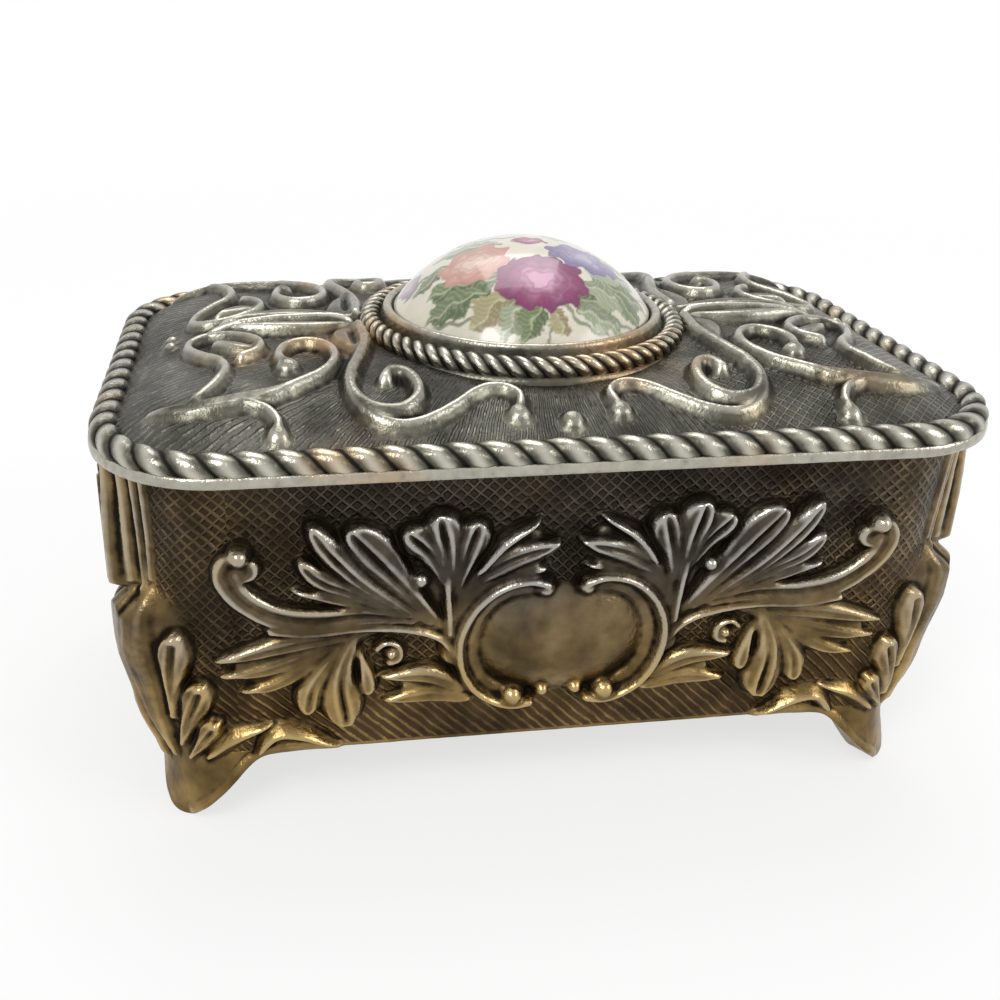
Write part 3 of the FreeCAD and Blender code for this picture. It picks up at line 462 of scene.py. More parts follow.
def wear_and_shading_marks(field, body, step, wrapped):
    """Where a relief is rubbed bright, with a painted highlight on its ridges, and where the dark patina
    stays, with painted shade in hollows and beside raised forms, each from 0 to 1.
    """
    edge = softened(field, max(int(EDGE_REACH / step), 1), wrapped)
    near = softened(field, int(HOLLOW_REACH / step), wrapped)
    # crest: real wear on the high spots, and a painted highlight along the ridges
    crest = np.clip((field - edge) * 4.4 + (field - near) * 0.55 - 0.06, 0, 1) ** 1.2
    # pit: real patina in the hollows, and painted shade in hollows and next to raised forms
    pit = np.clip((edge - field) * 3.4 + (near - field) * 1.0, 0, 1) * (0.45 + 0.55 * body)
    return crest, pit


def grain(shape, reach, wrapped, seed):
    """Even random grain averaged over a reach of points, about -1 to 1."""
    noise = softened(np.random.default_rng(seed).standard_normal(shape), reach, wrapped)
    return noise / (np.abs(noise).max() + 1e-9)


def wall_ring():
    """Columns round the box: the inner rectangle's point, the outward direction and the running length."""
    corner_count = round(CORNER_LENGTH / WALL_STEP)
    turn = -math.pi / 2
    base, outward, running, sides = [], [], [], []
    length = -CORNER[0]
    place = np.array([-CORNER[0], -CORNER[1]])
    for side, run in (("front", 2 * CORNER[0]), ("right", 2 * CORNER[1]), ("back", 2 * CORNER[0]),
                      ("left", 2 * CORNER[1])):
        count = round(run / WALL_STEP)
        heading = np.array([-math.sin(turn), math.cos(turn)])
        for step in range(count):
            base.append(place + heading * run * step / count)
            outward.append((math.cos(turn), math.sin(turn)))
            running.append(length + run * step / count)
            sides.append(side)
        place = place + heading * run
        length += run
        for step in range(corner_count):
            angle = turn + math.pi / 2 * step / corner_count
            base.append(place)
            outward.append((math.cos(angle), math.sin(angle)))
            running.append(length + CORNER_LENGTH * step / corner_count)
            sides.append("corner")
        turn += math.pi / 2
        length += CORNER_LENGTH
    return np.array(base), np.array(outward), np.array(running), np.array(sides), length + CORNER[0]


def wall_offset(height):
    """Distance of the wall's plain outside from the inner rectangle, flaring out over the feet."""
    wall = BASE_RADIUS + DRAFT * (height - FOOT_HEIGHT) / (RIM - FOOT_HEIGHT)
    foot = BASE_RADIUS + FOOT_FLARE * (np.clip(FOOT_HEIGHT - height, 0, None) / FOOT_HEIGHT) ** 1.6
    return np.where(height >= FOOT_HEIGHT, wall, foot)


def foot_edge(from_corner):
    """Height of the lower edge: rounded toes at the corners, arches between them."""
    climb = TOE_SOFTNESS * np.log1p(np.exp((from_corner - FOOT_TOE) / TOE_SOFTNESS))
    climb = climb - TOE_SOFTNESS * math.log1p(math.exp(-FOOT_TOE / TOE_SOFTNESS))
    return FOOT_HEIGHT - KNEE_SOFTNESS * np.log1p(np.exp((FOOT_HEIGHT - climb) / KNEE_SOFTNESS))


def eased(value, low, high):
    """0 below low, 1 above high, and a soft step between them."""
    share = np.clip((value - low) / (high - low), 0, 1)
    return share * share * (3 - 2 * share)


def corner_swell(towards_front, height):
    """Soft swelling of a corner below its ornament: a post over a spear-shaped bulge that meets the foot."""
    post_centre, post_half = -9.5, 5.2
    bulge_centre, bulge_half = -4.2, 4.4
    skirt_centre, skirt_half = 4.0, 5.0
    post = eased(height, 28.6, 30.2) * (2.3 + 2.1 * eased(-height, -46, -30))
    post = post * np.exp(-((towards_front - post_centre) / post_half) ** 4)
    bulge = (2.4 + 1.5 * eased(height, 14.0, 26.0)) * eased(height, 3.0, 15.0) * eased(-height, -31.5, -27.0)
    bulge = bulge * np.exp(-((towards_front - bulge_centre) / bulge_half) ** 2)
    skirt = 0.9 * eased(-height, -12.0, -6.0) * eased(height, 0.0, 3.0)
    skirt = skirt * np.exp(-((towards_front - skirt_centre) / skirt_half) ** 2)
    return np.maximum(np.maximum(post, bulge), skirt)


def wall_relief(running, length, height):
    """Height fields over the box's running length: the walls' ornament and the swelling of the corners."""

    def from_centre(centre):
        return (running - centre + length / 2) % length - length / 2

    to_corner = CORNER[0] + CORNER_LENGTH / 2
    to_end = CORNER[0] + CORNER_LENGTH + CORNER[1]
    field = np.zeros_like(height)
    for centre in (0, length / 2):
        across = from_centre(centre)
        for form in LONG_WALL:
            lay(field, across, height, form)
        oval = (np.abs(across[:, None]) / PILLOW_HALF[0]) ** 2.2
        oval = oval + (np.abs(height - PILLOW_CENTRE) / PILLOW_HALF[1]) ** 2.0
        field = np.maximum(field, PILLOW_RISE * np.clip(1 - oval, 0, 1) ** PILLOW_ROUNDNESS)
    for centre in (to_end, -to_end):
        for form in END_WALL:
            lay(field, from_centre(centre), height, form)
    half_way = length / 2
    corners = ((-to_corner, 1), (to_corner, -1), (half_way - to_corner, 1), (half_way + to_corner, -1))
    swell = np.zeros_like(height)
    for centre, towards in corners:
        across = from_centre(centre) * towards
        swell = np.maximum(swell, corner_swell(across[:, None], height))
        for form in CORNER_POST:
            lay(field, across, height, form, mirrored=False)
    return field, swell


def wall_shell(base, outward, running, length):
    """Points of the walls with their marks of wear, painted highlight and painted shade, column by column
    round the box: outside, rim, inside and foot.
    """
    half = (running + length / 4) % (length / 2) - length / 4
    foot = foot_edge(np.abs(np.abs(half) - CORNER[0] - CORNER_LENGTH / 2))
    rows = round((RIM - FOOT_HEIGHT + FOOT_ROWS) / WALL_STEP)
    height = foot[:, None] + np.linspace(0, 1, rows) * (RIM - foot[:, None])
    relief, swell = wall_relief(running, length, height)
    field = softened(relief, 1, True)
    body = np.clip((field + swell * SWELL_IN_BODY) / WALL_BODY_RISE, 0, 1)
    field = field + grain(relief.shape, 2, True, WALL_GRAIN_SEED) * WALL_GRAIN
    fade = np.clip((RIM - height) / RELIEF_FADE, 0, 1)
    crest, pit = wear_and_shading_marks(field * fade, body, WALL_STEP, True)
    radius = np.minimum(wall_offset(height) + (field + swell) * fade, LID_RADIUS - LID_MARGIN)
    outside = base[:, None, :] + outward[:, None, :] * radius[..., None]
    outside = np.concatenate([outside, height[..., None]], axis=-1)
    top = float(wall_offset(np.array(RIM)))
    floor = float(wall_offset(np.array(FOOT_HEIGHT)))
    outside[:, -1, :2] = base + outward * (top - RIM_STEP_IN)
    outside[:, -1, 2] = RIM - RIM_STEP_DOWN
    inner = [
        (top - RIM_EASE, RIM),
        (top - WALL_THICKNESS + RIM_EASE, RIM),
        (top - WALL_THICKNESS, RIM - RIM_EASE),
        (floor - WALL_THICKNESS, FOOT_HEIGHT + FLOOR_THICKNESS),
        (floor - FOOT_THICKNESS, np.maximum(foot + 0.05, FOOT_HEIGHT)),
        (wall_offset(foot) - FOOT_THICKNESS, foot),
    ]
    layers = [outside]
    for reach, level in inner:
        ring = base + outward * np.broadcast_to(reach, foot.shape)[:, None]
        levels = np.broadcast_to(level, foot.shape)[:, None]
        layers.append(np.concatenate([ring, levels], axis=1)[:, None, :])
    extra = np.zeros((len(foot), len(inner)))
    marks = {
        "crest": np.concatenate([crest, extra + 0.15], axis=1),
        "pit": np.concatenate([pit, extra + 0.25], axis=1),
        "body": np.concatenate([body, extra + 1], axis=1),
        "run": np.broadcast_to(running[:, None], (len(foot), rows + len(inner))),
    }
    return np.concatenate(layers, axis=1), marks


def box_walls(finish):
    """Walls and feet of the box casting, in four closed lengths that lap a little at their ends."""
    base, outward, running, sides, length = wall_ring()
    shell, marks = wall_shell(base, outward, running, length)
    total = len(base)
    starts = {side: int(np.nonzero(sides == side)[0][0]) for side in ("right", "back", "left")}
    corner_count = round(CORNER_LENGTH / WALL_STEP)
    front_end = starts["right"] - corner_count
    back_end = starts["left"] - corner_count
    spans = {
        "wall_front": (0, front_end),
        "wall_right": (front_end, starts["back"]),
        "wall_back": (starts["back"], back_end),
        "wall_left": (back_end, total),
    }
    lap = np.concatenate([outward, np.ones((total, 1))], axis=1) * LAP_DEPTH
    for name, (first, last) in spans.items():
        columns = np.arange(first - 1, last + 2)
        wrapped = columns % total
        section = shell[wrapped]
        section[0] -= lap[wrapped[0]]
        section[-1] -= lap[wrapped[-1]]
        count, depth = section.shape[:2]
        faces = grid_faces(count, depth, loop_rows=True)
        start_cap = np.arange(depth)[None, :]
        end_cap = (np.arange(depth) + (count - 1) * depth)[None, ::-1]
        kept = {label: values[wrapped] for label, values in marks.items()}
        kept["run"] = kept["run"] + (columns // total * length)[:, None]
        mesh = mesh_from(name, section.reshape(-1, 3), [faces, start_cap, end_cap], kept)
        smooth = np.ones(len(mesh.polygons), dtype=bool)
        smooth[-2:] = False
        mesh.polygons.foreach_set("use_smooth", smooth)
        add_piece(name, mesh, finish, "box", "plated_casting", "box_casting")


def rounded_loop(half_x, half_y, radius, per_corner=24):
    """Points round a rectangle with rounded corners, anticlockwise."""
    points = []
    for turn, (sign_x, sign_y) in enumerate(((1, 1), (-1, 1), (-1, -1), (1, -1))):
        angles = np.linspace(turn, turn + 1, per_corner) * math.pi / 2
        centre = np.array([sign_x * (half_x - radius), sign_y * (half_y - radius)])
        points.append(centre + radius * np.stack([np.cos(angles), np.sin(angles)], axis=1))
    return np.vstack(points)


def stacked_loops(name, sides, levels, ring=False, marks=None):
    """Closed form from loops drawn in by an inset at each height; a ring closes on itself."""
    half_x, half_y, radius = sides
    loops = []
    for inset, height in levels:
        loop = rounded_loop(half_x - inset, half_y - inset, max(radius - inset, 0.3))
        loops.append(np.concatenate([loop, np.full((len(loop), 1), height)], axis=1))
    points = np.stack(loops, axis=1)
    count, depth = points.shape[:2]
    faces = [grid_faces(count, depth, loop_columns=True, loop_rows=ring)]
    if not ring:
        index = np.arange(count * depth).reshape(count, depth)
        faces += [index[None, ::-1, 0], index[None, :, -1]]
    constant = {label: np.full(count * depth, value) for label, value in (marks or {}).items()}
    return mesh_from(name, points.reshape(-1, 3), faces, constant)


def box_floor(finish):
    """Floor plate of the box casting, set into the walls."""
    sides = (CORNER[0] + BASE_RADIUS, CORNER[1] + BASE_RADIUS, BASE_RADIUS)
    low, high = FOOT_HEIGHT + 0.02, FOOT_HEIGHT + FLOOR_THICKNESS
    levels = [(FLOOR_INSET + 0.2, low), (FLOOR_INSET, low + 0.1), (FLOOR_INSET, high)]
    mesh = stacked_loops("box_floor", sides, levels, marks={"crest": 0.05, "pit": 0.45, "body": 1.0})
    add_piece("box_floor", mesh, finish, "box", "plated_casting", "box_casting")


def lid_edge_distance(x, y):
    """Distance in from the lid's outline."""
    over_x = np.abs(x) - CORNER[0]
    over_y = np.abs(y) - CORNER[1]
    outer = np.hypot(np.maximum(over_x, 0), np.maximum(over_y, 0))
    return LID_RADIUS - outer - np.minimum(np.maximum(over_x, over_y), 0)


def lid_ground(finish):
    """Domed top of the lid with its scrolls, trimmed under the rope rim and under the bezel."""
    half = LID_HALF - GROUND_INSET + GROUND_TUCK
    x = np.arange(-half[0], half[0] + LID_STEP / 2, LID_STEP)
    y = np.arange(-half[1], half[1] + LID_STEP / 2, LID_STEP)
    across, deep = np.meshgrid(x, y, indexing="ij")
    inset = lid_edge_distance(across, deep)
    radius = np.hypot(across, deep)
    dome = GROUND_EDGE + DOME_RISE * (1 - np.exp(-np.clip(inset - GROUND_INSET, 0, None) / DOME_RUN))
    relief = np.zeros_like(across)
    for form in LID_QUARTER:
        lay(relief, x, deep, form)
        lay(relief, x, -deep, form)
    field = softened(relief, 1, False)
    body = np.clip(field / LID_BODY_RISE, 0, 1)
    field = field + grain(relief.shape, 2, False, LID_GRAIN_SEED) * LID_GRAIN
    crest, pit = wear_and_shading_marks(field, body, LID_STEP, False)
    height = dome + field
    height = np.where(inset < GROUND_INSET, np.minimum(height, GROUND_EDGE), height)
    kept = (inset > GROUND_INSET - GROUND_TUCK) & (radius > BEZEL_RADIUS - BEZEL_OVERLAP)
    used = -np.ones(kept.shape, dtype=int)
    cells = kept[:-1, :-1] & kept[1:, :-1] & kept[1:, 1:] & kept[:-1, 1:]
    touched = np.zeros_like(kept)
    for shift_x in (0, 1):
        for shift_y in (0, 1):
            touched[shift_x:shift_x + cells.shape[0], shift_y:shift_y + cells.shape[1]] |= cells
    used[touched] = np.arange(touched.sum())
    i, j = np.nonzero(cells)
    quads = np.stack([used[i, j], used[i + 1, j], used[i + 1, j + 1], used[i, j + 1]], axis=1)
    points = np.stack([across[touched], deep[touched], height[touched]], axis=1)
    marks = {"crest": crest[touched], "pit": pit[touched], "body": body[touched]}
    mesh = mesh_from("lid_ground", points, [quads], marks)
    close_below(mesh, FLANGE_TOP - 0.2)
    add_piece("lid_ground", mesh, finish, "lid", "plated_casting", "lid_casting")


def close_below(mesh, level):
    """Draw the open edges of a mesh down to a level and close it there."""
    shape = bmesh.new()
    shape.from_mesh(mesh)
    rims = [edge for edge in shape.edges if edge.is_boundary]
    drawn = bmesh.ops.extrude_edge_only(shape, edges=rims)["geom"]
    low = [item for item in drawn if isinstance(item, bmesh.types.BMVert)]
    for point in low:
        point.co.z = level * MM
    edges = [item for item in drawn if isinstance(item, bmesh.types.BMEdge) and item.is_boundary]
    bmesh.ops.triangle_fill(shape, edges=edges, use_beauty=False, use_dissolve=False)
    bmesh.ops.recalc_face_normals(shape, faces=shape.faces)
    shape.to_mesh(mesh)
    shape.free()


def lid_flange(finish):
    """Flat rim of the lid below the rope, with the mouth of the pocket for the lining."""
    sides = (LID_HALF[0], LID_HALF[1], LID_RADIUS)
    levels = [
        (0.3, LID_BASE), (0.05, LID_BASE + 0.2), (0.0, LID_BASE + 0.6), (0.05, FLANGE_TOP - 0.2),
        (0.3, FLANGE_TOP), (POCKET_INSET - 3.0, FLANGE_TOP), (POCKET_INSET - 0.2, FLANGE_TOP + 0.6),
        (POCKET_INSET, FLANGE_TOP + 0.5), (POCKET_INSET, LID_BASE + 0.25), (POCKET_INSET - 0.2, LID_BASE),
    ]
    marks = {"crest": 0.6, "pit": 0.05, "body": 1.0}
    mesh = stacked_loops("lid_flange", sides, levels, ring=True, marks=marks)
    add_piece("lid_flange", mesh, finish, "lid", "plated_casting", "lid_casting")


class Tree:
    """Small helper to write a node tree: adds nodes, sets their values and links sockets."""

    def __init__(self, tree):
        self.tree = tree

    def node(self, kind, values=None, **settings):
        item = self.tree.nodes.new(kind)
        for name, value in settings.items():
            setattr(item, name, value)
        for socket, value in (values or {}).items():
            self.feed(item, socket, value)
        return item

    def feed(self, item, socket, value):
        target = item.inputs[socket]
        if isinstance(value, bpy.types.NodeSocket):
            self.tree.links.new(value, target)
        elif isinstance(value, bpy.types.Node):
            self.tree.links.new(value.outputs[0], target)
        else:
            target.default_value = value

    def mix(self, factor, first, second):
        item = self.node("ShaderNodeMix", {0: factor, 6: first, 7: second}, data_type="RGBA")
        return item.outputs[2]

    def ramp(self, value, low, high, from_value=0.0, to_value=1.0):
        item = self.node("ShaderNodeMapRange", {"Value": value, "From Min": low, "From Max": high,
                                                "To Min": from_value, "To Max": to_value})
        return item.outputs[0]

    def place(self):
        return self.node("ShaderNodeTexCoord").outputs["Object"]

    def noise(self, place, scale, detail=2.0):
        item = self.node("ShaderNodeTexNoise", {"Vector": place, "Scale": scale, "Detail": detail})
        return item.outputs["Fac"]

    def bump(self, height, strength, distance):
        return self.node("ShaderNodeBump", {"Height": height, "Strength": strength, "Distance": distance})

    def surface(self, values):
        shader = self.node("ShaderNodeBsdfPrincipled", values)
        self.node("ShaderNodeOutputMaterial", {"Surface": shader})

    def maths(self, operation, *values):
        item = self.tree.nodes.new("ShaderNodeMath")
        item.operation = operation
        for place, value in enumerate(values):
            self.feed(item, place, value)
        return item.outputs[0]


def twisted_cord_tree():
    """Geometry nodes: a cord of twisted strands laid along a rounded rectangle or a circle."""
    group = bpy.data.node_groups.new("twisted_cord", "GeometryNodeTree")
    inputs = {
        "NodeSocketFloat": ("Length", "Depth", "Corner", "Height", "Cord Radius", "Groove"),
        "NodeSocketInt": ("Strands", "Turns", "Rings", "Sides"),
        "NodeSocketMaterial": ("Finish",),
    }
    for kind, names in inputs.items():
        for name in names:
            group.interface.new_socket(name, in_out="INPUT", socket_type=kind)
    group.interface.new_socket("Geometry", in_out="OUTPUT", socket_type="NodeSocketGeometry")
    tree = Tree(group)
    given = tree.node("NodeGroupInput").outputs
    outline = tree.node("GeometryNodeCurvePrimitiveQuadrilateral", {"Width": given["Length"],
                                                                    "Height": given["Depth"]})
    rounded = tree.node("GeometryNodeFilletCurve", {"Curve": outline, "Count": 32, "Radius": given["Corner"],
                                                    "Limit Radius": True}, mode="POLY")
    even = tree.node("GeometryNodeResampleCurve", {"Curve": rounded, "Count": given["Rings"]})
    upright = tree.node("GeometryNodeSetCurveNormal", {"Curve": even}, mode="Z_UP")
    share = tree.node("GeometryNodeSplineParameter").outputs["Factor"]
    turned = tree.maths("MULTIPLY", tree.maths("MULTIPLY", share, given["Turns"]), 2 * math.pi)
    twisted = tree.node("GeometryNodeSetCurveTilt", {"Curve": upright, "Tilt": turned})
    circle = tree.node("GeometryNodeCurvePrimitiveCircle", {"Resolution": given["Sides"], "Radius": 1.0})
    place = tree.node("ShaderNodeSeparateXYZ", {"Vector": tree.node("GeometryNodeInputPosition")})
    angle = tree.maths("ARCTAN2", place.outputs["Y"], place.outputs["X"])
    lobes = tree.maths("MULTIPLY", tree.maths("MULTIPLY", angle, given["Strands"]), 0.5)
    wave = tree.maths("ABSOLUTE", tree.maths("COSINE", lobes))
    swell = tree.maths("MULTIPLY_ADD", given["Groove"], tree.maths("SUBTRACT", wave, 1.0), 1.0)
    reach = tree.maths("MULTIPLY", swell, given["Cord Radius"])
    lobed = tree.node("GeometryNodeSetPosition", {"Geometry": circle})
    scaled = tree.node("ShaderNodeVectorMath", {0: tree.node("GeometryNodeInputPosition"), "Scale": reach},
                       operation="SCALE")
    tree.feed(lobed, "Position", scaled)
    # Marks for the plate finish: the strand tops get rubbed wear with a painted highlight, the grooves
    # between strands real patina with painted shade.
    kept = tree.node("GeometryNodeStoreNamedAttribute", {"Geometry": lobed, "Name": "crest"},
                     data_type="FLOAT", domain="POINT")
    tree.feed(kept, "Value", tree.maths("MULTIPLY", tree.maths("POWER", wave, 3.0), 0.75))
    dark = tree.node("GeometryNodeStoreNamedAttribute", {"Geometry": kept, "Name": "pit"},
                     data_type="FLOAT", domain="POINT")
    hollow = tree.maths("POWER", tree.maths("SUBTRACT", 1.0, wave), 2.2)
    tree.feed(dark, "Value", tree.maths("MULTIPLY", hollow, 1.1))
    solid = tree.node("GeometryNodeStoreNamedAttribute", {"Geometry": dark, "Name": "body", "Value": 1.0},
                      data_type="FLOAT", domain="POINT")
    swept = tree.node("GeometryNodeCurveToMesh", {"Curve": twisted, "Profile Curve": solid,
                                                  "Fill Caps": False})
    lifted = tree.node("GeometryNodeTransform", {"Geometry": swept})
    tree.feed(lifted, "Translation", tree.node("ShaderNodeCombineXYZ", {"Z": given["Height"]}))
    smooth = tree.node("GeometryNodeSetShadeSmooth", {"Geometry": lifted})
    real = tree.node("GeometryNodeRealizeInstances", {"Geometry": smooth})
    done = tree.node("GeometryNodeSetMaterial", {"Geometry": real, "Material": given["Finish"]})
    tree.node("NodeGroupOutput", {"Geometry": done})
    return group


def grown(name, group, values):
    """Plain mesh of a geometry node tree with the values given to its named inputs."""
    holder = bpy.data.objects.new(name, bpy.data.meshes.new(name + "_seed"))
    bpy.context.scene.collection.objects.link(holder)
    modifier = holder.modifiers.new(name, "NODES")
    modifier.node_group = group
    for item in group.interface.items_tree:
        if item.item_type == "SOCKET" and item.in_out == "INPUT" and item.name in values:
            modifier[item.identifier] = values[item.name]
    found = holder.evaluated_get(bpy.context.evaluated_depsgraph_get())
    mesh = bpy.data.meshes.new_from_object(found)
    mesh.name = name
    holder.modifiers.clear()
    bpy.data.objects.remove(holder)
    return mesh


def rope_rim(cord, finish):
    """Rope-twist rim that runs round the lid."""
    mesh = grown("rope_rim", cord, {
        "Length": 2 * (LID_HALF[0] - ROPE_INSET) * MM,
        "Depth": 2 * (LID_HALF[1] - ROPE_INSET) * MM,
        "Corner": (LID_RADIUS - ROPE_INSET) * MM,
        "Height": ROPE_HEIGHT * MM,
        "Cord Radius": ROPE_RADIUS * MM,
        "Strands": ROPE_STRANDS,
        "Turns": ROPE_TURNS,
        "Rings": 1680,
        "Sides": 36,
        "Groove": 0.2,
        "Finish": finish,
    })
    add_piece("rope_rim", mesh, finish, "lid", "plated_casting", "lid_casting")


def turned_mesh(name, section, steps, marks):
    """Ring turned about the Z axis from a closed section of radius and height."""
    angles = np.linspace(0, 2 * math.pi, steps, endpoint=False)
    section = np.asarray(section, dtype=float)
    points = np.stack([
        np.cos(angles)[:, None] * section[:, 0], np.sin(angles)[:, None] * section[:, 0],
        np.broadcast_to(section[:, 1], (steps, len(section))),
    ], axis=-1)
    faces = grid_faces(steps, len(section), loop_columns=True, loop_rows=True)
    constant = {label: np.tile(np.asarray(values, dtype=float), steps) for label, values in marks.items()}
    return mesh_from(name, points.reshape(-1, 3), [faces], constant)


def bezel(cord, finish):
    """Turned collar with a plain lip, and the slanting gadroon cord round it."""
    gadroon_radius = BEZEL_RADIUS - GADROON_RADIUS - GADROON_INSET
    section = smooth_line([
        (BEZEL_BORE, BEZEL_SEAT), (BEZEL_RADIUS - 0.2, BEZEL_SEAT - 0.4), (BEZEL_RADIUS, BEZEL_SEAT + 0.2),
        (BEZEL_RADIUS - 0.25, BEZEL_SEAT + 0.8), (gadroon_radius + 0.7, BEZEL_SEAT + 1.2),
        (gadroon_radius - 1.0, BEZEL_SEAT + 1.9), (gadroon_radius - 1.5, BEZEL_SEAT + 2.6),
        (gadroon_radius - 1.75, BEZEL_TOP - 0.35), (BEZEL_BORE + 0.75, BEZEL_TOP),
        (BEZEL_BORE + 0.2, BEZEL_TOP - 0.25), (BEZEL_BORE, BEZEL_TOP - 0.9),
    ], 60)
    # Marks for the plate finish: the upper collar gets rubbed wear with a painted highlight, the hollow by
    # the gadroon real patina with painted shade.
    crest = np.clip((section[:, 1] - BEZEL_SEAT - 3.1) * 0.7, 0.05, 0.6)
    pit = np.clip(0.55 - np.abs(section[:, 1] - BEZEL_SEAT - 2.4) * 0.5, 0.1, 0.5)
    marks = {"crest": crest[::-1], "pit": pit[::-1], "body": np.ones(len(section))}
    mesh = turned_mesh("bezel_collar_ring", section[::-1], 240, marks)
    add_piece("bezel_collar_ring", mesh, finish, "lid", "plated_casting", "bezel_collar")
    side = 2 * gadroon_radius * MM
    band = grown("bezel_gadroon", cord, {
        "Length": side, "Depth": side, "Corner": side / 2 * 0.9999,
        "Height": (BEZEL_SEAT + GADROON_LIFT) * MM,
        "Cord Radius": GADROON_RADIUS * MM,
        "Strands": GADROON_STRANDS,
        "Turns": GADROON_TURNS,
        "Rings": 1100,
        "Sides": 30,
        "Groove": 0.26,
        "Finish": finish,
    })
    add_piece("bezel_gadroon", band, finish, "lid", "plated_casting", "bezel_collar")


def petal_ring(x, y, centre, radius, petals, turn, depth):
    """How far inside a round bloom with waved petals a point lies, as a share of its radius."""
    dx, dy = x - centre[0], y - centre[1]
    angle = np.arctan2(dy, dx) + turn
    rim = radius * (1 - depth + depth * np.abs(np.cos(angle * petals / 2)))
    return np.hypot(dx, dy) / rim, angle


def blend(colour, paint, cover):
    """Lay paint over colour by a cover from 0 to 1."""
    return colour + (np.asarray(paint) - colour) * np.clip(cover, 0, 1)[..., None]


def bloom(colour, x, y, centre, radius, petals, shades):
    """Layered bloom: dark between the petals, paler towards its heart."""
    dark, full, pale = shades
    for layer, size in enumerate((1.0, 0.78, 0.56, 0.36)):
        inside, angle = petal_ring(x, y, centre, radius * size, petals - layer, layer * 1.1 + centre[0], 0.16)
        plain = np.broadcast_to(np.asarray(full, dtype=float), colour.shape)
        shade = blend(plain, pale, np.full(x.shape, layer * 0.24))
        shade = blend(shade, dark, np.clip((inside - 0.62) * 2.2, 0, 0.8))
        veins = 0.5 + 0.5 * np.cos(angle * petals * 4)
        shade = blend(shade, pale, 0.22 * veins * np.clip(1 - inside, 0, 1))
        colour = blend(colour, shade, np.clip((1 - inside) * radius * size / 0.25, 0, 1))
    return colour


def leaf_paint(colour, x, y, root, tip, width, shades):
    """Painted leaf with a pale midrib and shaded half."""
    run = np.subtract(tip, root)
    length = np.hypot(*run)
    along = ((x - root[0]) * run[0] + (y - root[1]) * run[1]) / length ** 2
    off = ((y - root[1]) * run[0] - (x - root[0]) * run[1]) / length
    edge = width * np.clip(np.sin(math.pi * np.clip(along, 0, 1) ** 0.85), 0, 1)
    edge = edge * (1 + 0.12 * np.sin(along * 40))
    dark, full, pale = shades
    plain = np.broadcast_to(np.asarray(full, dtype=float), colour.shape)
    shade = blend(plain, dark, np.where(off > 0, 0.65, 0.05))
    ribs = np.exp(-((np.mod(along * 9 - np.abs(off) * 0.8, 1) - 0.5) / 0.16) ** 2)
    shade = blend(shade, pale, 0.35 * ribs)
    shade = blend(shade, pale, np.exp(-(off / 0.16) ** 2) * 0.8)
    inside = (along > 0) & (along < 1)
    return blend(colour, shade, np.where(inside, np.clip((edge - np.abs(off)) / 0.2, 0, 1), 0))


MAGENTA = ((0.10, 0.006, 0.050), (0.26, 0.018, 0.13), (0.62, 0.33, 0.45))
SALMON = ((0.40, 0.17, 0.13), (0.58, 0.34, 0.27), (0.70, 0.56, 0.48))
VIOLET = ((0.10, 0.065, 0.19), (0.21, 0.165, 0.33), (0.48, 0.44, 0.55))
GREEN = ((0.035, 0.065, 0.022), (0.12, 0.165, 0.065), (0.44, 0.47, 0.27))
SAGE = ((0.13, 0.165, 0.09), (0.27, 0.31, 0.19), (0.55, 0.56, 0.42))
OCHRE = ((0.17, 0.12, 0.05), (0.33, 0.29, 0.14), (0.55, 0.52, 0.35))
MAUVE = ((0.18, 0.10, 0.15), (0.30, 0.20, 0.26), (0.52, 0.43, 0.46))
GLAZE = (0.66, 0.61, 0.51)
# Painted spray, unrolled over the dome: root, tip, half width and colours of each leaf; the stems' lines;
# centre, radii, petals and colours of each bloom.
LEAVES = [
    ((-4.6, -9.4), (-15.0, -6.4), 3.4, GREEN), ((-7.4, -10.6), (-16.2, -10.2), 2.4, GREEN),
    ((-4.5, -12.0), (-10.2, -15.4), 2.6, OCHRE), ((-2.5, -13.4), (-6.6, -18.0), 2.1, SAGE),
    ((-0.5, -14.2), (-3.8, -18.8), 2.0, GREEN), ((1.0, -14.0), (2.0, -19.0), 1.4, OCHRE),
    ((2.5, -12.8), (10.4, -13.0), 2.6, GREEN), ((5.5, -10.6), (14.6, -10.4), 3.0, SAGE),
    ((6.5, -8.0), (14.8, -4.8), 2.6, SAGE), ((9.5, -9.0), (17.2, -8.4), 1.9, GREEN),
    ((10.5, -9.6), (15.4, -13.4), 1.8, GREEN), ((4.0, -14.4), (11.6, -15.8), 1.8, SAGE),
    ((-3.0, -1.4), (-12.6, 2.2), 1.9, SAGE), ((2.0, 0.6), (10.2, 3.4), 1.8, SAGE),
    ((-4.0, 4.0), (-11.6, 9.8), 2.4, GREEN), ((4.0, 4.5), (12.0, 9.8), 2.4, GREEN),
    ((0.0, 6.0), (-2.0, 15.0), 2.3, SAGE), ((2.5, 7.0), (7.4, 15.4), 2.1, OCHRE),
    ((-11.0, -2.4), (-16.6, -4.0), 1.5, GREEN), ((10.4, -2.6), (16.4, -1.4), 1.5, GREEN),
]
